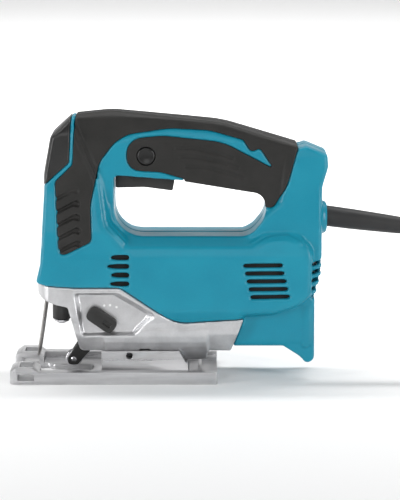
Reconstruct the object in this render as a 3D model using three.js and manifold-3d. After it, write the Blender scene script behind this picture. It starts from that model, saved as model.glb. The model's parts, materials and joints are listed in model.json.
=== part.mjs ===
// Orbital-action jigsaw with a D-shaped handle. Millimetres, +Z up.
// The blade end points to -X, the mains cord leaves at +X, and the sole of the base is z = 0.
import * as THREE from "three";
import { mergeVertices } from "three/addons/utils/BufferGeometryUtils.js";
import Module from "manifold-3d";

const wasm = await Module();
wasm.setup();

// ---- Driving dimensions ------------------------------------------------------------------

const gap = 0.3; // clearance between neighbouring pieces

// Plastic housing
const front = -98; // front face of the housing
const rear = 118.5; // rear face of the cord boss
const crest = 201; // height that the top of the handle curves towards
const wall = 4.2; // housing wall
const barrelZ = 82; // height of the barrel's widest line
const barrelHalf = 31.5; // half width of the motor barrel
const columnHalf = 31.2; // half width of the front column at the gears
const handleHalf = 19.5; // half width of the handle
const rearHalf = 23; // half width of the rear column
const skirtHalf = 22; // half width of the dust skirt
const gripDepth = 1.8; // thickness of the soft grip

// Motor, gears and plunger
const motorZ = 79; // height of the motor axis
const gearModule = 1.1;
const gearTeeth = 42;
const pinionTeeth = 7;
const gearFace = -62; // front face of the crank gear
const gearThick = 8;
const coverFace = -50; // front face of the gear cover
const coverThick = 3;
const stroke = 23;
const strokeAbove = 4; // travel left above the rest position
const plungerX = -81;
const plungerR = 4.5;
const bushWall = 2.6;
const shaftR = 4;
const statorR = 25;
const armatureR = 14.8;
const commutatorR = 10;
const fanR = 23.5;
const bearingR = 11;
const bearingLong = 7;

// Base and its bevel saddle
const baseFront = -118;
const baseLong = 154.5;
const baseWide = 77;
const soleThick = 4;
const railHigh = 9.2;
const railWide = 7.5;
const prongHigh = 12.3;
const prongLong = 22;
const tiltZ = 39; // height of the bevel axis
const seatR = 28; // radius of the bevel seat
const saddleThick = 2.8;
const saddleHalf = 26;
const saddleTop = 22.4;
const saddleFront = -50;
const saddleLong = 64;
const boltX = -18;
const boltR = 3;
const baseTravel = 15;

// Controls
const triggerHalf = 8;
const buttonR = 6.7;
const dialR = 10.3;
const leverWide = 11.8;
const leverReach = 11.7;

// Orbital roller
const armPivot = [-57.5, 31];
const rollerAt = [-72.1, 11.8];
const rollerR = 6.3;
const rollerWide = 6.4;
const cheek = 2.8;

// Cord
const glandZ = 120.8;
const glandTilt = THREE.MathUtils.degToRad(7.5);
const reliefLong = 60;
const cordR = 4.25;
const leadBend = 44; // radius of the bends between tool and coil
const leadSteep = THREE.MathUtils.degToRad(68);
const coilAt = [300, 14];
const coilInner = 34;
const coilTurnsWide = 2;
const coilTurnsHigh = 5;
const coilFloor = 1.2; // height of the coil over the ground, where its tie passes under
const plugLong = 36;
const plugWide = 35.3;
const plugThick = 16;
const plugPinR = 2.4;
const plugPinLong = 19;
const plugPitch = 19;

// ---- Geometry helpers ---------------------------------------------------------------------

// A closed solid from a geometry, with its faces turned outwards.
function solid(geometry) {
  const bare = geometry.clone();
  bare.deleteAttribute("normal");
  bare.deleteAttribute("uv");
  const merged = mergeVertices(bare, 1e-4);
  const vertProperties = new Float32Array(merged.attributes.position.array);
  const triVerts = new Uint32Array(merged.index.array);
  const make = () => new wasm.Manifold(new wasm.Mesh({ numProp: 3, vertProperties, triVerts }));
  const made = make();
  if (made.volume() > 0) return made;
  for (let i = 0; i < triVerts.length; i += 3) {
    [triVerts[i], triVerts[i + 1]] = [triVerts[i + 1], triVerts[i]];
  }
  return make();
}

function geometryOf(body) {
  const mesh = body.getMesh();
  const geometry = new THREE.BufferGeometry();
  geometry.setAttribute("position", new THREE.BufferAttribute(mesh.vertProperties, 3));
  geometry.setIndex(new THREE.BufferAttribute(mesh.triVerts, 1));
  geometry.computeVertexNormals();
  return geometry;
}

const union = (bodies) => bodies.reduce((all, body) => all.add(body));

// Outlines are lists of corners [a, b, radius].
function trace(path, corners) {
  const at = (i) => new THREE.Vector2(...corners[(i + corners.length) % corners.length]);
  corners.forEach((corner, i) => {
    const here = at(i);
    const before = at(i - 1).sub(here);
    const after = at(i + 1).sub(here);
    const half = Math.abs(before.angleTo(after)) / 2;
    const reach = Math.min(
      (corner[2] ?? 0) / Math.tan(half),
      before.length() * 0.48,
      after.length() * 0.48,
    );
    const start = here.clone().addScaledVector(before.normalize(), reach);
    const end = here.clone().addScaledVector(after.normalize(), reach);
    if (i === 0) path.moveTo(start.x, start.y);
    else path.lineTo(start.x, start.y);
    if (reach > 0.05) path.quadraticCurveTo(here.x, here.y, end.x, end.y);
  });
  path.closePath();
  return path;
}

function outline(corners, holes = []) {
  const shape = trace(new THREE.Shape(), corners);
  holes.forEach((hole) => shape.holes.push(trace(new THREE.Path(), hole)));
  return shape;
}

// The same corners moved inwards by a distance, or outwards by a negative one.
function inset(corners, by) {
  const turn = Math.sign(THREE.ShapeUtils.area(corners.map(([x, y]) => ({ x, y }))));
  const at = (i) => new THREE.Vector2(...corners[(i + corners.length) % corners.length]);
  return corners.map((corner, i) => {
    const inward = (a, b) => {
      const run = b.clone().sub(a).normalize();
      return new THREE.Vector2(-run.y, run.x).multiplyScalar(turn);
    };
    const first = inward(at(i - 1), at(i));
    const second = inward(at(i), at(i + 1));
    const mitre = first.clone().add(second);
    const step = mitre.multiplyScalar(by / (1 + first.dot(second)));
    const convex = first.cross(second) * turn > 0;
    const radius = Math.max((corner[2] ?? 0) - (convex ? by : -by), 0);
    return [corner[0] + step.x, corner[1] + step.y, radius];
  });
}

const mirrored = (half) => [...half, ...half.map(([a, b, r]) => [-a, b, r]).reverse()];
const basis = (a, b, c) => new THREE.Matrix4().makeBasis(a, b, c);
const axisX = new THREE.Vector3(1, 0, 0);
const axisY = new THREE.Vector3(0, 1, 0);
const axisZ = new THREE.Vector3(0, 0, 1);

function extruded(shape, depth, curveSegments = 3) {
  return new THREE.ExtrudeGeometry(shape, { depth, bevelEnabled: false, curveSegments });
}

// A side-view outline in X and Z, from one Y to another.
function slab(corners, y0, y1, holes = [], curveSegments = 3) {
  const made = extruded(outline(corners, holes), y1 - y0, curveSegments);
  return solid(made.rotateX(Math.PI / 2).translate(0, y1, 0));
}

// A cross-section in Y and Z, from one X to another.
function bar(corners, x0, x1, holes = [], curveSegments = 3) {
  const made = extruded(outline(corners, holes), x1 - x0, curveSegments);
  return solid(made.applyMatrix4(basis(axisY, axisZ, axisX)).translate(x0, 0, 0));
}

// A plan outline in X and Y, from one Z to another.
function post(corners, z0, z1, holes = []) {
  return solid(extruded(outline(corners, holes), z1 - z0).translate(0, 0, z0));
}

function block(x0, x1, y0, y1, z0, z1) {
  const box = new THREE.BoxGeometry(x1 - x0, y1 - y0, z1 - z0);
  return solid(box.translate((x0 + x1) / 2, (y0 + y1) / 2, (z0 + z1) / 2));
}

// A turned piece: profile [radius, distance along the axis], lathed about X, Y or Z.
function turned(profile, axis, at = [0, 0, 0], sides = 20) {
  const lathe = new THREE.LatheGeometry(
    profile.map(([r, h]) => new THREE.Vector2(r, h)),
    sides,
  );
  if (axis === "x") lathe.rotateZ(-Math.PI / 2);
  if (axis === "z") lathe.rotateX(Math.PI / 2);
  return solid(lathe.translate(...at));
}

const rod = (r, from, to, axis, at, sides) =>
  turned([[0, from], [r, from], [r, to], [0, to]], axis, at, sides);

const ring = (inner, outer, from, to, axis, at, sides) =>
  turned([[inner, from], [outer, from], [outer, to], [inner, to], [inner, from]], axis, at, sides);

// A round tube that follows a curve.
function tube(points, radius, steps, sides = 8) {
  const curveSegments = sides / 2;
  const section = new THREE.Shape();
  section.absarc(0, 0, radius, 0, Math.PI * 2);
  const extrudePath = new THREE.CatmullRomCurve3(points.map((p) => new THREE.Vector3(...p)));
  return solid(
    new THREE.ExtrudeGeometry(section, { steps, extrudePath, curveSegments }),
  );
}

// The outline of a spur gear, in its own plane.
function toothed(teeth, phase) {
  const pitch = (gearModule * teeth) / 2;
  const tip = pitch + 0.75 * gearModule;
  const root = pitch - 1.1 * gearModule;
  const step = (Math.PI * 2) / teeth;
  const corners = [];
  for (let i = 0; i < teeth; i += 1) {
    const middle = phase + i * step;
    const put = (r, share) => {
      const a = middle + share * step;
      corners.push([r * Math.cos(a), r * Math.sin(a)]);
    };
    put(root, -0.3);
    put(tip, -0.13);
    put(tip, 0.13);
    put(root, 0.3);
  }
  return corners;
}

// ---- Materials and assembly ---------------------------------------------------------------

const finish = (color, roughness, metalness) =>
  new THREE.MeshStandardMaterial({ color, roughness, metalness });
const tealPlastic = finish(0x2b90ab, 0.42, 0);
const softBlack = finish(0x2d2d2c, 0.75, 0);
const hardBlack = finish(0x1c1c1d, 0.35, 0);
const castAlloy = finish(0xc4c4c6, 0.4, 0.85);
const steel = finish(0xa9abae, 0.25, 1);
const iron = finish(0x5c5e63, 0.5, 0.9);
const copper = finish(0xa8623a, 0.4, 0.9);
const brass = finish(0xb79a55, 0.35, 0.9);
const bronze = finish(0x8d6e45, 0.5, 0.8);
const carbon = finish(0x29292b, 0.7, 0.1);
const board = finish(0x2e5c3e, 0.6, 0);
const cordBlack = finish(0x202022, 0.6, 0);

const jigsaw = new THREE.Group();
const bodyGroup = (...at) => {
  const made = new THREE.Group();
  made.position.set(...at);
  jigsaw.add(made);
  return made;
};

function add(name, body, material, parent = jigsaw) {
  const mesh = new THREE.Mesh(geometryOf(body), material);
  mesh.name = name;
  parent.add(mesh);
  return mesh;
}

// ---- Shared layout ------------------------------------------------------------------------

const gearZ = motorZ + (gearModule * (gearTeeth + pinionTeeth)) / 2;
const crankR = stroke / 2;
const crankAngle = Math.acos((crankR - strokeAbove) / crankR);
const yokeZ = gearZ + crankR - strokeAbove;
const barrelTop = barrelZ + 27.2;
const baseRear = baseFront + baseLong;
const baseHalf = baseWide / 2;

// The line where the cast gear housing meets the plastic, closed far below it.
const castRegion = [
  [front - 20, barrelZ - 7.2],
  [front, barrelZ - 7.2],
  [front + 8, barrelZ - 9.4, 8],
  [front + 28, barrelZ - 10.8, 20],
  [-35.5, barrelZ - 10.8, 6],
  [5.4, barrelZ - 38.4, 25],
  [56, barrelZ - 35, 0.5],
  [46.5, barrelZ - 60.5],
  [40, -20],
  [front - 20, -20],
];

// ---- Plastic housing ----------------------------------------------------------------------

const shellOutline = [
  [front - 0.3, barrelZ - 12],
  [front + 0.1, barrelZ - 5],
  [front + 3, barrelZ + 7, 12],
  [front + 6.2, crest - 46, 40],
  [front + 11.4, crest - 18, 6],
  [front + 27, crest - 3.4, 6],
  [front + 56, crest, 60],
  [rear - 78.5, crest - 8.6, 80],
  [rear - 20.5, crest - 26.6, 1.5],
  [rear - 17, crest - 24.8, 1.5],
  [rear - 0.6, crest - 31.6, 3],
  [rear, crest - 41, 8],
  [rear - 4.4, crest - 56, 8],
  [rear - 4.4, glandZ + 13.7, 0.5],
  [rear, glandZ + 10.7, 1.5],
  [rear, glandZ - 12.3, 1.5],
  [rear - 4.4, glandZ - 14.5, 0.5],
  [rear - 4.4, barrelZ, 20],
  [rear - 9.4, barrelZ - 20, 3],
  [rear - 9.4, 25, 2],
  [40, 25],
  [-20, barrelZ - 50],
  [front - 0.3, barrelZ - 50],
];
const fingerHole = [
  [front + 57.8, crest - 46.8, 3],
  [front + 57.8, barrelTop - 0.3, 24],
  [rear - 60.5, barrelTop - 0.3, 10],
  [rear - 45, crest - 66, 8],
  [rear - 52.5, crest - 59.8, 6],
  [front + 107, crest - 50.6, 1],
];

// Each zone is a side-view region with the cross-section that the housing has there.
const zones = [
  {
    region: [
      [front - 5, 30], [rear - 62.5, 30], [rear - 62.5, barrelZ - 33.2],
      [rear - 40.5, barrelZ - 31.7, 10], [rear - 20.5, barrelZ - 24, 8],
      [rear - 12, barrelZ - 16, 5], [rear - 11.5, barrelZ + 16, 6], [rear - 17.5, barrelZ + 30, 10],
      [rear - 32.5, barrelZ + 34.5, 8], [rear - 58.5, barrelZ + 34.5], [front - 5, barrelZ + 34.5],
    ],
    section: mirrored([
      [barrelHalf - 6, barrelZ - 42], [barrelHalf, barrelZ - 28, 4], [barrelHalf, barrelZ + 15, 6],
      [barrelHalf - 2, barrelZ + 21, 2], [handleHalf, barrelZ + 28, 2], [handleHalf, barrelZ + 60],
    ]),
  },
  {
    region: [
      [front - 5, barrelZ - 15], [-28, barrelZ - 15], [-28, barrelZ + 23], [-43, barrelZ + 38, 8],
      [-47, crest - 51, 10], [-58, crest - 25, 10], [-70, crest + 4], [front - 5, crest + 4],
    ],
    section: mirrored([
      [columnHalf, barrelZ - 16], [columnHalf, barrelZ + 31, 10], [columnHalf - 7, barrelZ + 60, 20],
      [columnHalf - 9, crest - 16, 6], [columnHalf - 14, crest - 4, 4], [columnHalf - 20, crest + 1],
    ]),
  },
  {
    region: [[front - 5, barrelZ + 20], [rear + 5, barrelZ + 20], [rear + 5, crest + 4],
      [front - 5, crest + 4]],
    section: mirrored([
      [handleHalf, barrelZ + 19], [handleHalf, crest - 22, 8], [handleHalf - 5.5, crest - 5, 4],
      [handleHalf - 12, crest + 1],
    ]),
  },
  {
    region: [[rear - 62, barrelZ - 27], [rear + 5, barrelZ - 27], [rear + 5, crest - 18],
      [rear - 33, crest - 18], [rear - 36, crest - 66], [rear - 62, crest - 88]],
    section: mirrored([
      [rearHalf, barrelZ - 28], [rearHalf, glandZ, 20], [rearHalf - 3, crest - 32, 4],
      [rearHalf - 6, crest - 22],
    ]),
  },
  {
    region: [[40, 20], [rear + 5, 20], [rear + 5, barrelZ - 7], [40, barrelZ - 7]],
    section: mirrored([[skirtHalf - 2, 21], [skirtHalf, 30, 4], [skirtHalf, barrelZ - 6]]),
  },
];

// The outer form of the housing, moved inwards by a distance.
function housingForm(by, segments) {
  const span = Math.max(barrelHalf, columnHalf) + 5;
  const side = slab(inset(shellOutline, by), -span, span, [inset(fingerHole, -by)], segments);
  const cores = zones.map(({ region, section }) =>
    slab(inset(region, by), -span, span, [], segments > 1 ? 2 : 1).intersect(
      bar(inset(section, by), front - 10, rear + 10, [], segments > 1 ? 2 : 1),
    ),
  );
  return side.intersect(union(cores));
}

const gripRegion = [
  [front + 30.2, crest + 5],
  [front + 27.6, crest - 38.5, 2],
  [front + 14.7, crest - 51, 2],
  [front + 17.4, barrelZ + 12.5, 2],
  [front + 41.4, barrelZ + 24.2, 2.5],
  [front + 40.4, crest - 68, 30],
  [front + 47, crest - 37, 18],
  [front + 62, crest - 17.5, 25],
  [front + 98, crest - 12.2, 60],
  [rear - 88.5, crest - 13.5, 40],
  [rear - 63, crest - 20.5, 3],
  [rear - 57, crest - 30, 3],
  [rear - 51, crest - 26, 3],
  [rear - 40.5, crest - 42, 1],
  [rear - 78.5, crest - 22, 40],
  [front + 94, crest - 17.5, 50],
  [front + 67.5, crest - 20, 12],
  [front + 67.5, crest - 43, 10],
  [front + 93, crest - 44.5, 20],
  [front + 110, crest - 49.5, 1],
  [front + 110, crest - 71],
  [rear - 52.5, crest - 71.5],
  [rear - 41, crest - 73.7, 5],
  [rear - 30.5, crest - 54, 40],
  [rear - 21.2, crest - 21, 1],
  [rear - 21.2, crest + 5],
];
const bumperRegion = [
  [front + 26.6, crest + 5],
  [front + 25, crest - 37, 2],
  [front + 6.2, crest - 53.6],
  [front - 10, crest - 53.6],
  [front - 10, crest + 5],
];

const gearboxSection = (by) =>
  inset(mirrored([
    [columnHalf - wall - 0.5, barrelZ - 12], [columnHalf - wall - 0.5, barrelZ + 30],
    [columnHalf - wall - 7, barrelZ + 55],
  ]), by);
const gearboxFront = plungerX - plungerR - bushWall - 2.2;
const gearboxTop = barrelZ + 55;
const cavityTop = gearboxTop - 6.4;

const button = { at: [front + 81.7, crest - 32.6], outer: handleHalf + 0.2, long: 6.2 };
const dialAt = [rear - 11.4, crest - 43];
const pivotTrigger = [front + 64, crest - 45];
const triggerOutline = [
  [front + 58.6, crest - 57.8, 1.5], [front + 80, crest - 57.2, 20],
  [front + 101.2, crest - 60, 1.5], [front + 102.9, crest - 49.6, 1],
  [front + 102, crest - 41, 2], [front + 65, crest - 39, 3], [front + 58.6, crest - 46, 3],
];
const triggerWindow = [
  [front + 57, crest - 62], [front + 105, crest - 62], [front + 105.5, crest - 32],
  [front + 62, crest - 32], [front + 57, crest - 42],
];

const sideVents = (side) => {
  const y = side * (barrelHalf + 4);
  const depth = [Math.min(y, side * 12), Math.max(y, side * 12)];
  const cuts = [];
  for (let i = 0; i < 4; i += 1) {
    const z = barrelZ + 12.3 - i * 6.6;
    cuts.push(slab(
      [[-50, z + 0.4], [-38, z + 1.7], [-28.6, z + 1.7], [-28.6, z - 1.7], [-38, z - 1.7],
        [-50, z - 0.4]],
      ...depth,
    ));
  }
  for (let i = 0; i < 5; i += 1) {
    const z = barrelZ + 6.2 - i * 5.9;
    const x = rear - 63.5 + i * 1.4;
    cuts.push(slab(
      [[x, z - 1.5], [x + 30, z - 1.2], [x + 30, z + 1.6], [x, z + 1.3]],
      ...depth,
    ));
    const low = barrelZ + 5 - i * 6.1;
    cuts.push(slab(
      [[rear - 12.6, low - 1], [rear + 2, low + 4], [rear + 2, low + 6.6], [rear - 12.6, low + 1.6]],
      Math.min(side * 9, side * 40), Math.max(side * 9, side * 40),
    ));
  }
  return union(cuts);
};

// Housing screws, with their heads on the right-hand side.
const screwAt = [
  [front + 38, crest - 41],
  [-39.5, barrelZ + 22],
  [rear - 24, crest - 70],
  [rear - 18.5, barrelZ - 19.5],
];
const screwR = 1.9;
const screwHeadR = 4;
const bossR = 4.6;
const screwFace = 15; // height of the head's seat over the middle plane

const reach = Math.max(barrelHalf, columnHalf) + 8;
const outerForm = housingForm(0, 2);
const cavity = housingForm(wall, 1);
const underGrip = housingForm(gripDepth, 1);
const bedForm = housingForm(gripDepth + gap, 1);

const gearboxClear = bar(gearboxSection(-gap), gearboxFront - gap, coverFace + coverThick + gap);
const bosses = union(screwAt.map(([x, z]) => rod(bossR, -reach, reach, "y", [x, 0, z], 10)));
const bearingSeat = block(
  rear - 31, rear - 23, -barrelHalf, barrelHalf, motorZ - 26, motorZ + 26,
).subtract(rod(bearingR + gap, rear - 32, rear - 22, "x", [0, 0, motorZ]));
const inside = cavity.subtract(bosses).subtract(bearingSeat);
const duct = union([
  rod(13, rear - 55, rear, "x", [0, 0, 40], 16),
  block(rear - 68, rear - 54, -12, 12, 30, 50),
]);
const lugs = union([-1, 1].map((side) => slab(
  [[rear - 9.4, 30], [rear - 9.4, 15, 4], [rear - 15, 11.5, 3], [rear - 20.5, 17.5, 4],
    [rear - 33, 25.5, 4], [rear - 33, 30]],
  Math.min(side * 14, side * 21), Math.max(side * 14, side * 21),
)));
const reliefAxis = new THREE.Vector3(Math.cos(glandTilt), 0, -Math.sin(glandTilt));

function tilted(profile, sides = 20) {
  const lathe = new THREE.LatheGeometry(profile.map(([r, h]) => new THREE.Vector2(r, h)), sides);
  lathe.rotateZ(-Math.PI / 2).rotateY(glandTilt).translate(rear, 0, glandZ);
  return solid(lathe);
}

const openings = union([
  inside,
  gearboxClear,
  slab(inset(castRegion, -gap), -reach, reach),
  slab(triggerWindow, -triggerHalf - gap, triggerHalf + gap),
  rod(dialR + gap + 0.3, -4.6, 4.6, "y", [dialAt[0], 0, dialAt[1]], 18),
  tilted([[0, -14], [8.2, -14], [8.2, 6], [0, 6]], 12),
  tilted([[0, -14], [10.2, -14], [10.2, -7.4], [0, -7.4]], 12),
  rod(1.8 + gap, -11.4, 11.4, "y", [pivotTrigger[0], 0, pivotTrigger[1]], 10),
  duct,
]);
const buttonHole = rod(buttonR + gap, -reach, 0, "y", [button.at[0], 0, button.at[1]], 20);

const ribForm = housingForm(gripDepth / 2, 1);

function grip(side) {
  const across = side < 0 ? [-reach, -gap / 2] : [gap / 2, reach];
  let made = outerForm.intersect(slab(gripRegion, ...across)).subtract(underGrip);
  made = made.subtract(slab(triggerWindow, -triggerHalf - gap, triggerHalf + gap));
  if (side < 0) made = made.subtract(buttonHole);
  else {
    const [x, z] = screwAt[0];
    made = made.subtract(rod(screwHeadR + gap, 0, reach, "y", [x, 0, z], 12));
  }
  for (let i = 0; i < 5; i += 1) {
    const z = barrelZ + 21.5 + i * 9.7;
    const groove = slab(
      [[front + 20, z - 3.5], [front + 33.5, z + 3.5], [front + 33.5, z + 5.5],
        [front + 20, z - 1.5]],
      Math.min(side * 50, side * (columnHalf - 7.5)), Math.max(side * 50, side * (columnHalf - 7.5)),
    );
    made = made.subtract(groove.subtract(ribForm));
  }
  return made;
}

function housingHalf(side) {
  const across = side < 0 ? [-reach, -gap / 2] : [gap / 2, reach];
  const bed = slab(inset(gripRegion, -gap), -reach, reach)
    .add(slab(inset(bumperRegion, -gap), -reach, reach))
    .subtract(bedForm);
  let made = outerForm.add(lugs).subtract(bed).subtract(openings).subtract(sideVents(side));
  made = made.intersect(block(-200, 200, ...across, -10, 260));
  screwAt.forEach(([x, z]) => {
    made = made.subtract(rod(screwR + gap, -14, reach, "y", [x, 0, z], 12));
    if (side > 0) {
      made = made.subtract(rod(screwHeadR + gap, screwFace, reach, "y", [x, 0, z], 12));
    }
  });
  if (side < 0) made = made.subtract(buttonHole);
  return made;
}

add("housing_left", housingHalf(-1), tealPlastic);
add("housing_right", housingHalf(1), tealPlastic);
add("grip_left", grip(-1), softBlack);
add("grip_right", grip(1), softBlack);
add(
  "front_bumper",
  outerForm.intersect(slab(bumperRegion, -reach, reach)).subtract(underGrip),
  hardBlack,
);

screwAt.forEach(([x, z], i) => {
  const screw = turned(
    [[0, -12], [screwR, -12], [screwR, screwFace + gap], [screwHeadR, screwFace + gap],
      [screwHeadR, screwFace + 2.6], [1.6, screwFace + 2.6], [1.6, screwFace + 1.2],
      [0, screwFace + 1.2]],
    "y", [0, 0, 0], 12,
  );
  add(`housing_screw_${i + 1}`, screw, steel).position.set(x, 0, z);
});

// ---- Cast gear housing --------------------------------------------------------------------

const castLow = 21.7; // underside of the casting beside the bevel seat
const castOutline = [
  [front + 0.2, barrelZ],
  [front + 0.2, barrelZ - 18, 4],
  [-84, barrelZ - 23.8, 8],
  [-74.8, barrelZ - 25.8, 2],
  [-66.4, 23.6, 1],
  [-64, castLow, 1],
  [60, castLow],
  [60, barrelZ],
];
const castHalf = barrelHalf - 2;
const seatHalf = Math.sqrt(seatR ** 2 - (tiltZ - castLow) ** 2);
const castHollow = 21; // half width inside the casting
const castSection = mirrored([
  [seatHalf - 1, castLow, 2], [seatR - 0.4, tiltZ - 3, 4], [seatR - 0.4, tiltZ + 5, 4],
  [castHalf, tiltZ + 11, 4], [castHalf, barrelZ],
]);
const nosePlan = [
  [front + 0.2, -14, 8], [front + 6, -columnHalf + 1, 10], [70, -columnHalf + 1],
  [70, columnHalf - 1], [front + 6, columnHalf - 1, 10], [front + 0.2, 14, 8],
];
const pocket = { floor: castHalf - 7, pivot: [-45, 43.2] };
const pocketOutline = [
  [-68, 66, 1.5], [-41, 66, 4], [-14, 50, 2], [-27, 36, 3], [-64, 35, 2],
];
const guardPath = (lift) => [
  [-91.4, -12, 66 + lift], [-92.2, -12, 56], [-97.6, -12, 20], [-98.2, -9.5, 16.3],
  [-98.2, 9.5, 16.3], [-97.6, 12, 20], [-92.2, 12, 56], [-91.4, 12, 66 + lift],
];
const bushOuter = plungerR + gap + bushWall;
const lowerBush = [barrelZ - 19.5, barrelZ - 9];
const upperBush = [cavityTop - 0.8, gearboxTop - 0.2];
const clampR = 7;
const armSlotHalf = rollerWide / 2 + cheek + 2 * gap;

function gearHousing() {
  let made = slab(castOutline, -reach, reach)
    .intersect(bar(castSection, front - 5, 80))
    .intersect(post(nosePlan, 0, barrelZ + 5));
  made = made.add(rod(seatR, -48, 29, "x", [0, 0, tiltZ], 36).intersect(
    block(-60, 40, -40, 40, 0, tiltZ)));
  made = made.intersect(slab(castRegion, -reach, reach));
  made = made.add(bar(gearboxSection(0), gearboxFront, coverFace - gap));
  const hollow = [
    bar(gearboxSection(2.2), plungerX + plungerR + 1, coverFace + 5).intersect(
      block(-200, 0, -50, 50, barrelZ - 8, cavityTop)),
    block(plungerX - plungerR - 2.4, -60, -20, 20, barrelZ - 8, cavityTop),
    block(-52, 42, 7 - seatR, seatR - 7, 27, tiltZ),
    block(-52, 42, -castHollow, castHollow, tiltZ - 3, barrelZ),
    bar(mirrored([[castHollow, 60], [castHollow, barrelZ - 7.9]]), -60, -40),
    rod(plungerR + 2 * gap, 0, 300, "z", [plungerX, 0, 0]),
    rod(bushOuter + gap, lowerBush[0] - gap, lowerBush[1] + 2, "z", [plungerX, 0, 0]),
    rod(bushOuter + gap, upperBush[0] - 2, gearboxTop + 5, "z", [plungerX, 0, 0]),
    rod(clampR + 1.6, 0, barrelZ - 19.9, "z", [plungerX, 0, 0]),
    block(-90, -48.9, -armSlotHalf, armSlotHalf, 10, 40),
    rod(2.3, -14, 14, "y", [armPivot[0], 0, armPivot[1]], 12),
    slab(pocketOutline, -reach, -pocket.floor),
    rod(4.4, -reach, -15, "y", [pocket.pivot[0], 0, pocket.pivot[1]], 16),
    tube(guardPath(3), 1 + gap, 24),
    ring(seatR - 7, seatR + 1, boltX - 4, boltX + 4, "x", [0, 0, tiltZ], 36).intersect(
      block(-60, 0, -22.4, 22.4, 0, tiltZ - 12)),
  ];
  return made.subtract(union(hollow));
}
add("gear_housing", gearHousing(), castAlloy);
add("blade_guard", tube(guardPath(0), 1, 24), steel);
add("lower_bush", ring(plungerR + gap, bushOuter, ...lowerBush, "z", [plungerX, 0, 0]), bronze);
add("upper_bush", ring(plungerR + gap, bushOuter, ...upperBush, "z", [plungerX, 0, 0]), bronze);

const coverRear = coverFace + coverThick;
const gearCover = bar(gearboxSection(0), coverFace, coverRear)
  .intersect(block(-60, 0, -60, 60, barrelZ - 7.5, 300))
  .add(rod(bearingR + 2.4, coverFace, coverRear + bearingLong, "x", [0, 0, motorZ]))
  .intersect(block(-60, 0, -60, 60, barrelZ - 10.4, 300))
  .subtract(rod(bearingR + gap, coverRear - 1, coverRear + 20, "x", [0, 0, motorZ]))
  .subtract(rod(shaftR + 2, -60, 0, "x", [0, 0, motorZ]))
  .subtract(rod(shaftR + gap, -60, 0, "x", [0, 0, gearZ]));
add("gear_cover", gearCover, castAlloy);
add(
  "gear_shaft",
  turned(
    [[0, gearFace - 2.4], [6, gearFace - 2.4], [6, gearFace - gap], [shaftR, gearFace - gap],
      [shaftR, coverRear], [0, coverRear]],
    "x", [0, 0, gearZ],
  ),
  steel,
);

// ---- Motor --------------------------------------------------------------------------------

const motor = bodyGroup(0, 0, motorZ);
const coreFront = rear - 118;
const coreLong = 42;
const brushX = rear - 50.5;
const rearBearing = rear - 30.5;
const pinion = bar(toothed(pinionTeeth, Math.PI / 2), gearFace - 1, gearFace + gearThick + 1.5);
const shaft = rod(shaftR, gearFace + gearThick + 1.5, rearBearing + bearingLong + 1, "x");
add("motor_shaft", pinion.add(shaft), steel, motor);

const slots = Array.from({ length: 12 }, (_, i) => {
  const cut = new THREE.BoxGeometry(coreLong + 2, 2.4, 9).translate(0, 0, armatureR - 1);
  cut.rotateX((i / 12) * Math.PI * 2).translate(coreFront + coreLong / 2, 0, 0);
  return solid(cut);
});
const core = ring(shaftR + gap, armatureR, coreFront, coreFront + coreLong, "x", [0, 0, 0], 36);
add("armature_core", core.subtract(union(slots)), iron, motor);
const winding = (from) => ring(shaftR + gap, armatureR - 3, from, from + 8, "x", [0, 0, 0], 18);
add("armature_winding_front", winding(coreFront - 8 - gap), copper, motor);
add("armature_winding_rear", winding(coreFront + coreLong + gap), copper, motor);
add("commutator", ring(shaftR + gap, commutatorR, brushX - 8, brushX + 8, "x"), copper, motor);

const fanX = coreFront - 26;
const blades = Array.from({ length: 9 }, (_, i) => {
  const blade = new THREE.BoxGeometry(8.4, 1.4, 13).translate(fanX - 4, 0, fanR - 7.5);
  return solid(blade.rotateX((i / 9) * Math.PI * 2));
});
const fan = ring(shaftR + gap, fanR, fanX - 0.2, fanX + 1.4, "x", [0, 0, 0], 27)
  .add(ring(shaftR + gap, 12.5, fanX - 8, fanX, "x"));
add("cooling_fan", fan.add(union(blades)), hardBlack, motor);

const bearing = (from) => ring(
  shaftR + gap, bearingR, from, from + bearingLong - gap, "x", [0, 0, motorZ],
);
add("front_bearing", bearing(coverRear - 0.5), steel);
add("rear_bearing", bearing(rearBearing), steel);

const sector = (inner, outer, middle, spread) => {
  const arc = (r, from, to) => Array.from({ length: 9 }, (_, i) => {
    const a = middle + from + ((to - from) * i) / 8;
    return [r * Math.cos(a), motorZ + r * Math.sin(a)];
  });
  return [...arc(outer, -spread, spread), ...arc(inner, spread, -spread)];
};
const coilSector = (middle, by) =>
  sector(armatureR + 3 - by, armatureR + 7 + by, middle, 0.95 + by / armatureR);
const stator = ring(armatureR + 0.8, statorR, coreFront, coreFront + coreLong, "x",
  [0, 0, motorZ], 36);
const coilEnds = [coreFront - 9, coreFront + coreLong + 7];
const up = Math.PI / 2;
add(
  "stator_core",
  stator
    .subtract(bar(coilSector(up, gap), coreFront - 1, coreFront + coreLong + 1))
    .subtract(bar(coilSector(-up, gap), coreFront - 1, coreFront + coreLong + 1)),
  iron,
);
add("field_coil_upper", bar(coilSector(up, 0), ...coilEnds), copper);
add("field_coil_lower", bar(coilSector(-up, 0), ...coilEnds), copper);

[["left", -1], ["right", 1]].forEach(([name, side]) => {
  const across = (a, b) => [Math.min(side * a, side * b), Math.max(side * a, side * b)];
  const holder = block(brushX - 5, brushX + 5, ...across(13, 25), motorZ - 6, motorZ + 6)
    .subtract(block(brushX - 3.3, brushX + 3.3, ...across(12, 23), motorZ - 4.3, motorZ + 4.3));
  const brush = block(
    brushX - 3, brushX + 3, ...across(commutatorR + gap, 20), motorZ - 4, motorZ + 4,
  );
  add(`brush_holder_${name}`, holder, brass);
  add(`carbon_brush_${name}`, brush, carbon);
});

// ---- Crank and plunger --------------------------------------------------------------------

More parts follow.
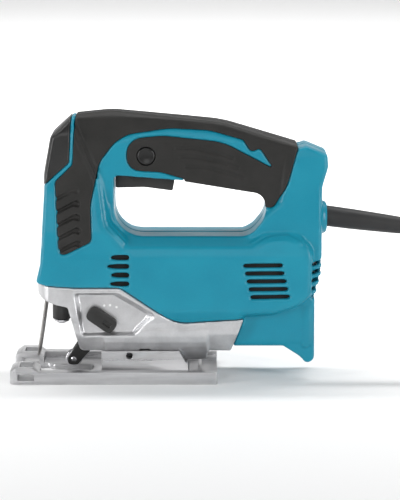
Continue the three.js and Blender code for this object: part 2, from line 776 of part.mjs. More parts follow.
const crank = bodyGroup(0, 0, gearZ);
const pinAt = [0, crankR * Math.sin(crankAngle), crankR * Math.cos(crankAngle)];
const yokeRear = gearFace - 8.3;
const gearPhase = -up + Math.PI / gearTeeth;
const gearDisc = bar(toothed(gearTeeth, gearPhase), gearFace, gearFace + gearThick)
  .subtract(rod(shaftR + 2 * gap, gearFace - 1, gearFace + gearThick + 1, "x"))
  .add(rod(3, yokeRear + gap + 0.2, gearFace + 1, "x", pinAt, 16));
add("crank_gear", gearDisc, steel, crank);
add(
  "crank_roller",
  ring(3 + gap, 5, yokeRear + 2 * gap, gearFace - gap, "x", pinAt, 16),
  steel,
  crank,
);

const plunger = bodyGroup(plungerX, 0, 0);
const clampTop = barrelZ - 24.5;
const clampLow = clampTop - 18.5;
add("plunger", rod(plungerR, clampTop + gap, gearboxTop + 20, "z"), steel, plunger);
const yokeFront = -plungerR - 1.6;
const yokeBack = yokeRear - plungerX;
const slotFront = yokeBack - 5;
const yoke = block(yokeFront, slotFront, -8, 8, yokeZ - 7, yokeZ + 7)
  .add(block(slotFront - 1.2, yokeBack, -19, 19, yokeZ - 8.4, yokeZ + 8.4))
  .subtract(block(slotFront, yokeBack + 1, -17, 17, yokeZ - 5.4, yokeZ + 5.4))
  .subtract(rod(plungerR + gap, 0, 300, "z"));
add("yoke", yoke, steel, plunger);
const clampBody = turned(
  [[0, clampLow], [3.4, clampLow], [5.8, clampLow + 1.6], [5.8, clampLow + 2.8],
    [5, clampLow + 3], [5, clampTop], [0, clampTop]],
  "z",
).subtract(block(-4.6, 4.6, -0.8, 0.8, 0, clampLow + 15));
add("blade_clamp_body", clampBody, steel, plunger);
const collar = ring(5 + gap, clampR, clampLow + 3.4, clampTop - 0.4, "z", [0, 0, 0], 16)
  .add(block(-6, 2, 4, 9.5, clampLow + 5, clampLow + 12).subtract(
    rod(5 + gap, 0, 300, "z", [0, 0, 0], 16)));
add("blade_clamp_collar", collar, hardBlack, plunger);

// ---- Orbital roller -----------------------------------------------------------------------

const roller = bodyGroup(rollerAt[0], 0, rollerAt[1]);
const cheekIn = rollerWide / 2 + gap;
const cheekOut = cheekIn + cheek;
const arm = [
  [rollerAt[0] - 4.2, rollerAt[1] + 1, 3], [armPivot[0] - 9, armPivot[1] - 3, 4],
  [armPivot[0] - 4, armPivot[1] + 5, 4], [armPivot[0] + 5, armPivot[1] + 4, 4],
  [armPivot[0] + 4.5, armPivot[1] - 6, 4], [rollerAt[0] + 9, rollerAt[1] + 3, 4],
  [rollerAt[0] + 3, rollerAt[1] - 4.2, 3], [rollerAt[0] - 4.2, rollerAt[1] - 4.2, 3],
];
const web = [
  [armPivot[0] - 5, armPivot[1] - 5], [armPivot[0] + 5, armPivot[1] - 5],
  [armPivot[0] + 5, armPivot[1] + 6], [armPivot[0] - 5, armPivot[1] + 6],
];
const armBody = slab(arm, -cheekOut, cheekOut)
  .subtract(block(-100, 0, -cheekIn, cheekIn, 0, 60).subtract(slab(web, -20, 20)))
  .subtract(rod(2 + gap, -20, 20, "y", [armPivot[0], 0, armPivot[1]], 12))
  .subtract(rod(2 + gap, -20, 20, "y", [rollerAt[0], 0, rollerAt[1]], 12));
add("roller_arm", armBody, hardBlack);
add("arm_pivot_pin", rod(2 - 0.1, -13, 13, "y", [armPivot[0], 0, armPivot[1]], 12), steel);
add("roller", ring(2 + gap, rollerR, -rollerWide / 2, rollerWide / 2, "y"), steel, roller);
add("roller_pin", rod(2 - 0.1, -cheekOut, cheekOut, "y", [0, 0, 0], 12), steel, roller);

// ---- Base ---------------------------------------------------------------------------------

const footprint = [
  [baseFront, -14, 2], [baseFront, -baseHalf, 5], [baseRear, -baseHalf, 3],
  [baseRear, baseHalf, 3], [baseFront, baseHalf, 5], [baseFront, 14, 2], [-92, 14, 3],
  [-88, 9, 3], [-57, 9, 6], [-57, -9, 6], [-88, -9, 3], [-92, -14, 3],
];
const prong = (side) => {
  const plan = [
    [baseFront, side * 14, 2], [baseFront, side * baseHalf, 5],
    [baseFront + prongLong, side * baseHalf], [baseFront + prongLong, side * 14],
  ];
  const profile = [
    [baseFront, 0], [baseFront, prongHigh - 3, 2], [baseFront + 5, prongHigh, 3],
    [baseFront + 17, prongHigh, 3], [baseFront + prongLong, railHigh], [baseFront + prongLong, 0],
  ];
  return post(plan, 0, 20).intersect(slab(profile, -60, 60));
};
const fence = [baseFront + 6, baseFront + 18.2, 3, 7.6];
const saddleRear = saddleFront + saddleLong;

function basePlate() {
  const rails = union([-1, 1].map((side) => {
    const y = [side * baseHalf, side * (baseHalf - railWide)].sort((a, b) => a - b);
    return block(baseFront + 12, baseRear, ...y, 0, railHigh);
  }));
  const pedestal = slab(
    [[saddleFront, 0], [saddleFront, saddleTop, 1], [saddleRear - 6, saddleTop, 1],
      [saddleRear, 11.5], [saddleRear + 2, 0]],
    -saddleHalf, saddleHalf,
  ).subtract(rod(seatR + gap, -100, 100, "x", [0, 0, tiltZ], 36));
  const rib = block(saddleRear + 8, saddleRear + 11, -baseHalf + 4, baseHalf - 4, 0, railHigh - 2);
  const under = block(saddleFront + 4, saddleRear - 4, -21, 21, -5, 20).subtract(
    rod(seatR + gap + saddleThick, -100, 100, "x", [0, 0, tiltZ], 36));
  const pockets = union([-1, 1].map((side) => {
    const y = [side * 18, side * 33].sort((a, b) => a - b);
    return block(baseFront + 7, baseFront + 17, ...y, soleThick, 30);
  }));
  return union([post(footprint, 0, soleThick), rails, prong(-1), prong(1), pedestal, rib])
    .intersect(post(footprint, -1, 60))
    .subtract(union([
      under,
      pockets,
      block(fence[0], fence[1], -60, 60, fence[2], fence[3]),
      block(boltX - baseTravel - boltR - 0.6, boltX + boltR + 0.6, -boltR - 0.6, boltR + 0.6, 0, 20),
      rod(2.6, -60, 60, "y", [-29.2, 0, 19], 12),
    ]));
}
add("base_plate", basePlate(), castAlloy);

const plateR = seatR + gap + saddleThick + gap;
const anglePlate = ring(plateR, plateR + 1.8, boltX - 9, boltX + 9, "x", [0, 0, tiltZ], 36)
  .intersect(block(-60, 20, -14, 14, 0, 20))
  .subtract(rod(boltR + gap, 0, 30, "z", [boltX, 0, 0], 16));
add("angle_plate", anglePlate, steel);
const headTop = tiltZ - plateR - 1.8 - gap;
add(
  "base_bolt",
  turned(
    [[0, headTop - 2.6], [2.4, headTop - 2.6], [2.4, headTop - 4.2], [5, headTop - 4.2],
      [5, headTop], [boltR, headTop], [boltR, tiltZ - seatR + 6], [0, tiltZ - seatR + 6]],
    "z", [boltX, 0, 0], 16,
  ),
  steel,
);

// ---- Orbit selector -----------------------------------------------------------------------

const selector = bodyGroup(pocket.pivot[0], 0, pocket.pivot[1]);
selector.rotation.y = THREE.MathUtils.degToRad(35);
const leverFace = [-pocket.floor - 4.4, -pocket.floor - gap];
const lever = slab(
  [[-leverReach - leverWide / 2, -leverWide / 2, 5], [leverWide / 2, -leverWide / 2, 5],
    [leverWide / 2, leverWide / 2, 5], [-leverReach - leverWide / 2, leverWide / 2, 5]],
  ...leverFace, [], 5,
).subtract(block(-3.8, 2.6, leverFace[0] - 1, leverFace[0] + 1.4, -2, 2));
add("orbit_lever", lever, hardBlack, selector);
const camShaft = rod(4, -pocket.floor + 0.1, -10, "y", [0, 0, 0], 16).add(
  rod(5.4, -18, -10, "y", [1.4, 0, 0], 16));
add("orbit_cam_shaft", camShaft.subtract(block(0.5, 9, -16, -9, -9, 9)), steel, selector);

// ---- Handle controls ----------------------------------------------------------------------

const triggerBody = slab(triggerOutline, -triggerHalf, triggerHalf).subtract(
  rod(1.8 + gap, -20, 20, "y", [pivotTrigger[0], 0, pivotTrigger[1]], 12));
add("trigger", triggerBody, hardBlack);
add(
  "trigger_pin",
  rod(1.8 - 0.1, -11, 11, "y", [pivotTrigger[0], 0, pivotTrigger[1]], 12),
  steel,
);
add(
  "lock_button",
  turned(
    [[0, -button.outer], [buttonR - 1, -button.outer], [buttonR, 1 - button.outer],
      [buttonR, 4.6 - button.outer], [buttonR + 0.8, 4.6 - button.outer],
      [buttonR + 0.8, button.long - button.outer], [0, button.long - button.outer]],
    "y", [0, 0, 0], 20,
  ),
  hardBlack,
).position.set(button.at[0], 0, button.at[1]);
const switchHalf = button.outer - button.long - 3 - gap;
add(
  "switch_body",
  block(front + 70, front + 112, -switchHalf, switchHalf, crest - 32, crest - 12),
  hardBlack,
);
const knurl = union(Array.from({ length: 12 }, (_, i) => {
  const notch = new THREE.BoxGeometry(1.2, 12, 1.2).rotateY(Math.PI / 4);
  return solid(notch.translate(dialR, 0, 0).rotateY((i / 12) * Math.PI * 2));
}));
add("speed_dial", rod(dialR, -4.2, 4.2, "y", [0, 0, 0], 24).subtract(knurl), hardBlack)
  .position.set(dialAt[0], 0, dialAt[1]);
const boardX = rear - 56;
add(
  "speed_board",
  block(boardX, boardX + 30, -9.5, -8, crest - 50, crest - wall - 25.8),
  board,
);
add(
  "capacitor",
  block(boardX + 4, boardX + 22, -6, 6, crest - 49, crest - 36),
  hardBlack,
);

// ---- Cord ---------------------------------------------------------------------------------

const reliefTip = new THREE.Vector3(rear, 0, glandZ).addScaledVector(reliefAxis, reliefLong);
add(
  "strain_relief",
  tilted([
    [0, -11.5], [9.6, -11.5], [9.6, -8], [7.8, -8], [7.8, 6], [7.2, 30], [6.3, reliefLong - 3],
    [5.6, reliefLong], [0, reliefLong],
  ]),
  cordBlack,
);
const coilOuter = coilInner + coilTurnsWide * 2 * cordR;
const coilTop = coilFloor + coilTurnsHigh * 2 * cordR;

// The lead bends down from the strain relief, runs steeply, and levels out beside the coil.
const leadFrom = reliefTip.clone().addScaledVector(reliefAxis, 3 * gap);
const layZ = coilFloor + cordR;
const leadTo = [coilAt[0] - 11, coilAt[1] - coilOuter + cordR];
const bentRun = (a) => leadBend * Math.sin(a);
const bentDrop = (a) => leadBend * (1 - Math.cos(a));
const firstDrop = bentDrop(leadSteep) - bentDrop(glandTilt);
const steepDrop = leadFrom.z - layZ - firstDrop - bentDrop(leadSteep);
const leadRun = 2 * bentRun(leadSteep) - bentRun(glandTilt) + steepDrop / Math.tan(leadSteep);
const flatRun = leadRun + 10;
const leadSide = [];
for (let i = 0; i <= 6; i += 1) {
  const a = glandTilt + ((leadSteep - glandTilt) * i) / 6;
  leadSide.push([bentRun(a) - bentRun(glandTilt), leadFrom.z + bentDrop(glandTilt) - bentDrop(a)]);
}
for (let i = 0; i <= 6; i += 1) {
  const a = leadSteep * (1 - i / 6);
  leadSide.push([leadRun - bentRun(a), layZ + bentDrop(a)]);
}
leadSide.push([flatRun, layZ]);
const eased = (share) => (1 - Math.cos(Math.PI * Math.min(share, 1))) / 2;
const cordRoute = leadSide.map(([run, z]) => [
  leadFrom.x + ((leadTo[0] - leadFrom.x) * run) / flatRun,
  leadTo[1] * eased(run / flatRun / 0.85),
  z,
]);
const coilRing = (by) => ring(
  coilInner - by, coilOuter + by, coilFloor - by, coilTop + by, "z", [...coilAt, 0], 32,
);
add("cord", tube(cordRoute, cordR, 18, 8).subtract(coilRing(gap)), cordBlack);
add("cord_coil", coilRing(0), cordBlack);

// The last of the cord climbs off the top turn to the plug, which lies on the coil.
const laneR = coilInner + cordR;
const plugZ = coilTop + gap + plugThick / 2;
const onLane = (degrees, z) => {
  const a = THREE.MathUtils.degToRad(degrees);
  return [coilAt[0] + laneR * Math.cos(a), coilAt[1] + laneR * Math.sin(a), z];
};
const plugAngle = 120; // where on the coil the cord enters the plug, in degrees
const climbFrom = 40;
const climb = (degrees) => {
  const low = coilTop - cordR;
  return low + (plugZ - low) * eased((degrees - climbFrom) / (plugAngle - climbFrom));
};
const tailRoute = Array.from({ length: 9 }, (_, i) => {
  const degrees = climbFrom + ((plugAngle - climbFrom) * i) / 8;
  return onLane(degrees, climb(degrees));
});
add("cord_tail", tube(tailRoute, cordR, 9, 8).subtract(coilRing(gap)), cordBlack);

const bandOut = 1.1;
const tie = block(coilInner - 1.6, coilOuter + bandOut, -4, 4, 0.1, coilTop + bandOut).subtract(
  block(coilInner - 0.8, coilOuter + gap, -5, 5, coilFloor - gap, coilTop + gap));
add("cord_tie", tie, softBlack).position.set(coilAt[0], coilAt[1], 0);

const plugTurn = THREE.MathUtils.degToRad(plugAngle + 90);
const plugEnd = onLane(plugAngle, plugZ);
const plugStep = plugLong / 2 + 2 * gap;
const plug = bodyGroup(
  plugEnd[0] + plugStep * Math.cos(plugTurn), plugEnd[1] + plugStep * Math.sin(plugTurn), plugZ,
);
plug.rotation.z = plugTurn;
const plugBody = post(
  [[-plugLong / 2, -7, 2], [-plugLong / 2 + 14, -plugWide / 2, 6], [plugLong / 2, -plugWide / 2, 2],
    [plugLong / 2, plugWide / 2, 2], [-plugLong / 2 + 14, plugWide / 2, 6], [-plugLong / 2, 7, 2]],
  -plugThick / 2, plugThick / 2,
);
add("plug_body", plugBody, cordBlack, plug);
[-1, 1].forEach((side) => {
  const pin = rod(plugPinR, plugLong / 2 + gap, plugLong / 2 + plugPinLong, "x", [0, 0, 0], 12);
  add(side < 0 ? "plug_pin_1" : "plug_pin_2", pin, brass, plug).position.y = (side * plugPitch) / 2;
});

export default jigsaw;
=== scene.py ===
# %% [markdown]
# # A corded jigsaw with a D-shaped handle
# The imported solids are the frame: they fix every size and every joint. This lesson dresses
# that frame. Moulded shells get soft edges, metal pieces get bevels, and each surface gets
# a material of its own. All sizes are given in millimetres and turned into metres by MM.

import json
import math

import bmesh
import bpy
from mathutils import Matrix, Vector


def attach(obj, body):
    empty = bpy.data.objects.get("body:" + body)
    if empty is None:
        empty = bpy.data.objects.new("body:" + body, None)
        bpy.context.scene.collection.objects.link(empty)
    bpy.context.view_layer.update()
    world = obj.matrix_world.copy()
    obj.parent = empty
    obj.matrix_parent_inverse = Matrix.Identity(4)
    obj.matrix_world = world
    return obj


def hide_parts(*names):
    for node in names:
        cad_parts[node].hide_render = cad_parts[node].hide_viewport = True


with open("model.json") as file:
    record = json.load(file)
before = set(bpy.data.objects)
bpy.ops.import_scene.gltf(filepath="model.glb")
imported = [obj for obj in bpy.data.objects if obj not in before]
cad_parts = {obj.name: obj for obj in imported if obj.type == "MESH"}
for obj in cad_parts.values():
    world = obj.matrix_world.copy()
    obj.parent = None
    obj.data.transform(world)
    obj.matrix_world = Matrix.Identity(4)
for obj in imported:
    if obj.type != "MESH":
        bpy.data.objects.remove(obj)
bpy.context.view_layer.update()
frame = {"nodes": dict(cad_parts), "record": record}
nodes = frame["nodes"]


MM = 0.001

# %% [markdown]
# ## The camera
# The tool is seen square from its left side, from a little above. A long lens keeps its
# outline free of perspective, as in a catalogue view.

# %% Camera
LENS = 153.1
PITCH_DOWN = math.radians(10.5)
AIM = Vector((23.5, 0.0, 94.6)) * MM
DISTANCE = 1.6

camera_data = bpy.data.cameras.new("camera")
camera_data.lens = LENS
camera = bpy.data.objects.new("camera", camera_data)
bpy.context.collection.objects.link(camera)
camera.rotation_euler = (math.pi / 2 - PITCH_DOWN, 0, 0)
camera.location = AIM + DISTANCE * Vector((0, -math.cos(PITCH_DOWN), math.sin(PITCH_DOWN)))
bpy.context.scene.camera = camera
print("camera at", tuple(round(value, 3) for value in camera.location))

# %% [markdown]
# ## The mains cord
# A rubber-sheathed cord leaves the tapered strain relief, bends down to the floor and is
# wound into a tied coil, with the plug resting on top. One poly curve with a round bevel
# follows the whole route. The lead and the climb to the plug repeat the route of the solids.
# In the coil the turns lie two wide and five high. Each change of lane starts a little
# earlier around the coil than the one below it, so that no turn runs through another.

# %% The cord's route
CORD_R = 4.25
COIL_AT = (300.0, 14.0)
LANES = (46.75, 38.25)
LEVELS = tuple(5.45 + 2 * CORD_R * level for level in range(5))
RELIEF_FROM = (118.5, 0.0, 120.8)
RELIEF_TILT = math.radians(7.5)
RELIEF_LONG = 60.0
LEAD_BEND = 44.0
LEAD_STEEP = math.radians(68)
LEAD_TO = (COIL_AT[0] - 11, COIL_AT[1] - LANES[0])
CORD_START = RELIEF_LONG + 0.9
lead_from = (
    RELIEF_FROM[0] + CORD_START * math.cos(RELIEF_TILT),
    RELIEF_FROM[2] - CORD_START * math.sin(RELIEF_TILT),
)


def eased(share):
    return (1 - math.cos(math.pi * min(max(share, 0), 1))) / 2


def bent_run(angle):
    return LEAD_BEND * math.sin(angle)


def bent_drop(angle):
    return LEAD_BEND * (1 - math.cos(angle))


BEND_POINTS = 9
FLAT_LEAD = 10
STRAIGHTENS_AT = 0.85
first_drop = bent_drop(LEAD_STEEP) - bent_drop(RELIEF_TILT)
steep_drop = lead_from[1] - LEVELS[0] - first_drop - bent_drop(LEAD_STEEP)
lead_run = 2 * bent_run(LEAD_STEEP) - bent_run(RELIEF_TILT) + steep_drop / math.tan(LEAD_STEEP)
flat_run = lead_run + FLAT_LEAD
lead_side = []
for i in range(BEND_POINTS):
    angle = RELIEF_TILT + (LEAD_STEEP - RELIEF_TILT) * i / (BEND_POINTS - 1)
    run = bent_run(angle) - bent_run(RELIEF_TILT)
    lead_side.append((run, lead_from[1] + bent_drop(RELIEF_TILT) - bent_drop(angle)))
for i in range(BEND_POINTS):
    angle = LEAD_STEEP * (1 - i / (BEND_POINTS - 1))
    lead_side.append((lead_run - bent_run(angle), LEVELS[0] + bent_drop(angle)))
lead_side.append((flat_run, LEVELS[0]))
lead = [
    (
        lead_from[0] + (LEAD_TO[0] - lead_from[0]) * run / flat_run,
        LEAD_TO[1] * eased(run / flat_run / STRAIGHTENS_AT),
        z,
    )
    for run, z in lead_side
]

# %% The turns of the coil and the climb to the plug
SHIFT = 65
FIRST_SHIFT = 205
lanes = [(0, 0), (1, 0), (1, 1), (0, 1), (0, 2), (1, 2), (1, 3), (0, 3), (0, 4), (1, 4)]
COIL_FROM = -90
stations = [(COIL_FROM, LANES[0], LEVELS[0])]
for turn, (before, after) in enumerate(zip(lanes, lanes[1:])):
    leaves = FIRST_SHIFT + turn * (360 - SHIFT)
    stations.append((leaves, LANES[before[0]], LEVELS[before[1]]))
    stations.append((leaves + SHIFT, LANES[after[0]], LEVELS[after[1]]))
CLIMB_FROM, CLIMB_TO = 40 + 8 * 360, 120 + 8 * 360
PLUG_Z = 52.0
stations.append((CLIMB_FROM, LANES[1], LEVELS[4]))
stations.append((CLIMB_TO, LANES[1], PLUG_Z))


def evenly_bent(share):
    return 2 * share ** 2 if share < 0.5 else 1 - 2 * (1 - share) ** 2


def coil_point(degrees):
    for start, end in zip(stations, stations[1:]):
        if degrees <= end[0]:
            break
    share = evenly_bent((degrees - start[0]) / (end[0] - start[0]))
    radius = start[1] + (end[1] - start[1]) * share
    angle = math.radians(degrees)
    return (
        COIL_AT[0] + radius * math.cos(angle),
        COIL_AT[1] + radius * math.sin(angle),
        start[2] + (end[2] - start[2]) * share,
    )


STEP = 5
route = lead + [coil_point(degrees) for degrees in range(COIL_FROM, CLIMB_TO + 1, STEP)]
route = [tuple(value * MM for value in point) for point in route]

# %% The cord as a curve
cord_curve = bpy.data.curves.new("mains_cord", "CURVE")
cord_curve.dimensions = "3D"
cord_curve.bevel_depth = 1.0
cord_curve.bevel_resolution = 6
cord_curve.use_fill_caps = True
strand = cord_curve.splines.new("POLY")
strand.points.add(len(route) - 1)
for point, place in zip(strand.points, route):
    point.co = (*place, 1)
    point.radius = CORD_R * MM
cord = bpy.data.objects.new("mains_cord", cord_curve)
bpy.context.collection.objects.link(cord)
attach(cord, "housing")
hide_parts("cord", "cord_coil", "cord_tail")

# %% [markdown]
# ## Tools for solid shapes
# Every moulded shape starts as a flat outline, which is extruded into a prism. A corner of
# an outline is (across, up) or (across, up, radius). Side views are prisms along Y and
# cross-sections are prisms along X. Where two such prisms cross, the shape has the right
# outline from the side and from the front.

# %% Outlines and prisms
BEND_STEPS = 7
MOST_OF_A_SIDE = 0.46
AXIS_FRAMES = {
    "x": Matrix(((0, 0, 1, 0), (1, 0, 0, 0), (0, 1, 0, 0), (0, 0, 0, 1))),
    "y": Matrix(((1, 0, 0, 0), (0, 0, 1, 0), (0, 1, 0, 0), (0, 0, 0, 1))),
    "z": Matrix.Identity(4),
}


def corner_reach(corners, i):
    """How far from a corner its rounding may start, on both of its sides."""
    here = Vector(corners[i][:2])
    back = Vector(corners[i - 1][:2]) - here
    ahead = Vector(corners[(i + 1) % len(corners)][:2]) - here
    half = max(back.angle(ahead) / 2, 0.05)
    radius = corners[i][2] if len(corners[i]) > 2 else 0
    longest = MOST_OF_A_SIDE * min(back.length, ahead.length)
    return min(radius / math.tan(half), longest)


def outline_face(corners):
    bm = bmesh.new()
    verts = [bm.verts.new((a * MM, b * MM, 0)) for a, b, *_ in corners]
    bm.faces.new(verts)
    for i, vert in enumerate(verts):
        reach = corner_reach(corners, i)
        if reach > 0.05:
            bmesh.ops.bevel(
                bm, geom=[vert], offset=reach * MM, segments=BEND_STEPS, profile=0.5,
                affect="VERTICES", material=-1,
            )
    return bm


def prism_bmesh(corners, axis, low, high):
    bm = outline_face(corners)
    made = bmesh.ops.extrude_face_region(bm, geom=bm.faces[:])
    top = [item for item in made["geom"] if isinstance(item, bmesh.types.BMVert)]
    bmesh.ops.translate(bm, verts=top, vec=(0, 0, (high - low) * MM))
    bmesh.ops.translate(bm, verts=bm.verts[:], vec=(0, 0, low * MM))
    bmesh.ops.transform(bm, matrix=AXIS_FRAMES[axis], verts=bm.verts[:])
    bmesh.ops.recalc_face_normals(bm, faces=bm.faces[:])
    return bm


def object_from(bm, name):
    mesh = bpy.data.meshes.new(name)
    bm.to_mesh(mesh)
    bm.free()
    made = bpy.data.objects.new(name, mesh)
    bpy.context.collection.objects.link(made)
    return made


def prism(corners, axis, low, high, name="blank"):
    return object_from(prism_bmesh(corners, axis, low, high), name)


def block(x, y, z, name="blank"):
    return prism([(x[0], y[0]), (x[1], y[0]), (x[1], y[1]), (x[0], y[1])], "z", *z, name)


def turned_bmesh(profile, axis, at=(0, 0, 0), steps=64):
    """A turned piece from a profile of (radius, distance along the axis)."""
    bm = bmesh.new()
    verts = [bm.verts.new((r * MM, 0, h * MM)) for r, h in profile]
    edges = [bm.edges.new(pair) for pair in zip(verts, verts[1:])]
    bmesh.ops.spin(
        bm, geom=verts + edges, cent=(0, 0, 0), axis=(0, 0, 1), angle=2 * math.pi,
        steps=steps, use_merge=True,
    )
    bmesh.ops.remove_doubles(bm, verts=bm.verts[:], dist=1e-7)
    turn = {"x": Matrix.Rotation(math.pi / 2, 4, "Y"), "y": Matrix.Rotation(-math.pi / 2, 4, "X")}
    bmesh.ops.transform(bm, matrix=turn.get(axis, Matrix.Identity(4)), verts=bm.verts[:])
    bmesh.ops.translate(bm, verts=bm.verts[:], vec=Vector(at) * MM)
    bmesh.ops.recalc_face_normals(bm, faces=bm.faces[:])
    return bm


def turned(profile, axis, at=(0, 0, 0), steps=64, name="blank"):
    return object_from(turned_bmesh(profile, axis, at, steps), name)


def rod(radius, low, high, axis, at, steps=48):
    return turned([(0, low), (radius, low), (radius, high), (0, high)], axis, at, steps)


# %% [markdown]
# ## Joining, cutting and softening
# A moulded shell has no sharp edge anywhere. Joined and cut prisms are therefore remeshed
# into small even faces and then smoothed, which rounds every edge a little, whatever the
# edges meet. Machined pieces keep flat faces and get a narrow bevel instead.

# %% Joining, cutting and softening
SHELL_CELL, SOFT_CELL, CAST_CELL = 1.02, 0.6, 0.82


def evaluated_mesh(piece):
    bpy.context.view_layer.update()
    graph = bpy.context.evaluated_depsgraph_get()
    return bpy.data.meshes.new_from_object(piece.evaluated_get(graph))


def apply_modifiers(piece):
    mesh = evaluated_mesh(piece)
    piece.modifiers.clear()
    old = piece.data
    piece.data = mesh
    bpy.data.meshes.remove(old)
    return piece


def combine(base, others, how):
    for other in others:
        step = base.modifiers.new(how, "BOOLEAN")
        step.operation = how
        step.solver = "MANIFOLD"
        step.object = other
    apply_modifiers(base)
    for other in others:
        mesh = other.data
        bpy.data.objects.remove(other)
        bpy.data.meshes.remove(mesh)
    return base


def copied(piece, name="blank"):
    made = bpy.data.objects.new(name, piece.data.copy())
    bpy.context.collection.objects.link(made)
    return made


def soften(piece, cell, rounds):
    """Remeshed into cells of this size, then smoothed this many times."""
    remesh = piece.modifiers.new("even", "REMESH")
    remesh.mode = "VOXEL"
    remesh.voxel_size = cell * MM
    apply_modifiers(piece)
    bm = bmesh.new()
    bm.from_mesh(piece.data)
    for _ in range(rounds):
        bmesh.ops.smooth_vert(
            bm, verts=bm.verts[:], factor=0.5, use_axis_x=True, use_axis_y=True,
            use_axis_z=True,
        )
    bm.to_mesh(piece.data)
    bm.free()
    piece.data.shade_smooth()
    return piece


def smooth_between_edges(piece, degrees):
    """Smooth shading that keeps edges sharper than this angle crisp."""
    piece.data.shade_smooth()
    piece.data.set_sharp_from_angle(angle=math.radians(degrees))


def inset(corners, by):
    """The same outline moved inwards by a distance, or outwards by a negative one."""
    count = len(corners)
    area = sum(
        corners[i - 1][0] * corners[i][1] - corners[i][0] * corners[i - 1][1]
        for i in range(count)
    )
    side = 1 if area > 0 else -1
    moved = []
    for i in range(count):
        here = Vector(corners[i][:2])
        run_in = (here - Vector(corners[i - 1][:2])).normalized()
        run_out = (Vector(corners[(i + 1) % count][:2]) - here).normalized()
        first = Vector((-run_in.y, run_in.x)) * side
        second = Vector((-run_out.y, run_out.x)) * side
        step = (first + second) * (by / (1 + first.dot(second)))
        convex = first.cross(second) * side > 0
        radius = corners[i][2] if len(corners[i]) > 2 else 0
        moved.append((here.x + step.x, here.y + step.y, max(radius - (by if convex else -by), 0)))
    return moved


def mirrored(half):
    return half + [(-corner[0], *corner[1:]) for corner in reversed(half)]


# %% [markdown]
# ## The moulded housing
# The body is two clamshell halves of glass-filled nylon. Five zones have their own
# cross-sections: motor barrel, front column, handle, rear column and dust skirt. Each zone is
# a side view crossed with a section. Repeating the crossing with the outline drawn in while
# the section grows gives a rounded edge of any radius.

# %% Outlines of the housing
FRONT, REAR, CREST, BARREL, GLAND = -98.0, 118.5, 201.0, 82.0, 120.8
BARREL_HALF, COLUMN_HALF, HANDLE_HALF, REAR_HALF, SKIRT_HALF = 31.5, 31.2, 19.5, 23.0, 22.0
WALL, GRIP_DEEP, GAP = 4.2, 1.8, 0.3
PAST, HALF_GAP = 44, 0.15
side_view = [
    (FRONT - 0.3, BARREL - 12), (FRONT + 0.1, BARREL - 5), (FRONT + 3, BARREL + 7, 12),
    (FRONT + 6.2, CREST - 46, 40), (FRONT + 11.4, CREST - 18, 6), (FRONT + 27, CREST - 3.4, 6),
    (FRONT + 56, CREST, 60), (REAR - 78.5, CREST - 8.6, 80), (REAR - 20.5, CREST - 26.6, 1.5),
    (REAR - 17, CREST - 24.8, 1.5), (REAR - 0.6, CREST - 31.6, 3), (REAR, CREST - 41, 8),
    (REAR - 4.4, CREST - 56, 8), (REAR - 4.4, BARREL, 20),
    (REAR - 9.4, BARREL - 20, 3), (REAR - 9.4, 25, 2), (40, 25), (-20, BARREL - 50),
    (FRONT - 0.3, BARREL - 50),
]
finger_hole = [
    (FRONT + 57.8, CREST - 46.8, 3), (FRONT + 57.8, BARREL + 26.9, 24),
    (REAR - 58, BARREL + 26.9, 14), (REAR - 45.3, BARREL + 42.5, 18),
    (REAR - 47.5, CREST - 60.7, 9), (FRONT + 107, CREST - 50.6, 1),
]
barrel_zone = (
    [
        (FRONT - 5, 30), (REAR - 62.5, 30), (REAR - 62.5, BARREL - 33.2),
        (REAR - 40.5, BARREL - 31.7, 10), (REAR - 20.5, BARREL - 24, 8),
        (REAR - 12, BARREL - 16, 5), (REAR - 11.5, BARREL + 16, 6),
        (REAR - 17.5, BARREL + 30, 10), (REAR - 32.5, BARREL + 34.5, 8),
        (REAR - 58.5, BARREL + 34.5), (FRONT - 5, BARREL + 34.5),
    ],
    mirrored([
        (BARREL_HALF - 6, BARREL - 42), (BARREL_HALF, BARREL - 28, 6),
        (BARREL_HALF, BARREL + 13, 8), (BARREL_HALF - 2, BARREL + 20, 5),
        (HANDLE_HALF, BARREL + 28, 5), (HANDLE_HALF, BARREL + 60),
    ]),
    4.0,
)
bulge_zone = (
    [
        (58, BARREL - 20), (REAR - 12, BARREL - 16, 5), (REAR - 11.5, BARREL + 16, 10),
        (REAR - 16.5, BARREL + 28, 10), (REAR - 30, BARREL + 34, 14), (73, BARREL + 32.5, 20),
        (58, BARREL + 24),
    ],
    mirrored([
        (BARREL_HALF - 6, BARREL - 42), (BARREL_HALF, BARREL - 28, 6),
        (BARREL_HALF, BARREL + 11, 14), (BARREL_HALF - 2.4, BARREL + 24, 12),
        (REAR_HALF, BARREL + 36),
    ]),
    8.0,
)
column_zone = (
    [
        (FRONT - 5, BARREL - 15), (-28, BARREL - 15), (-28, BARREL + 23), (-42, BARREL + 38, 10),
        (-46, CREST - 51, 12), (-57, CREST - 25, 12), (-70, CREST + 4), (FRONT - 5, CREST + 4),
    ],
    mirrored([
        (COLUMN_HALF, BARREL - 16), (COLUMN_HALF, BARREL + 31, 12),
        (COLUMN_HALF - 7, BARREL + 60, 24), (COLUMN_HALF - 9, CREST - 16, 8),
        (COLUMN_HALF - 14, CREST - 4, 5), (COLUMN_HALF - 20, CREST + 1),
    ]),
    9.0,
)
handle_zone = (
    [
        (FRONT - 5, BARREL + 20), (REAR + 5, BARREL + 20), (REAR + 5, CREST + 4),
        (FRONT - 5, CREST + 4),
    ],
    mirrored([
        (HANDLE_HALF, BARREL + 19), (HANDLE_HALF, CREST - 22, 12),
        (HANDLE_HALF - 5.5, CREST - 5, 6), (HANDLE_HALF - 12, CREST + 1),
    ]),
    0.0,
)
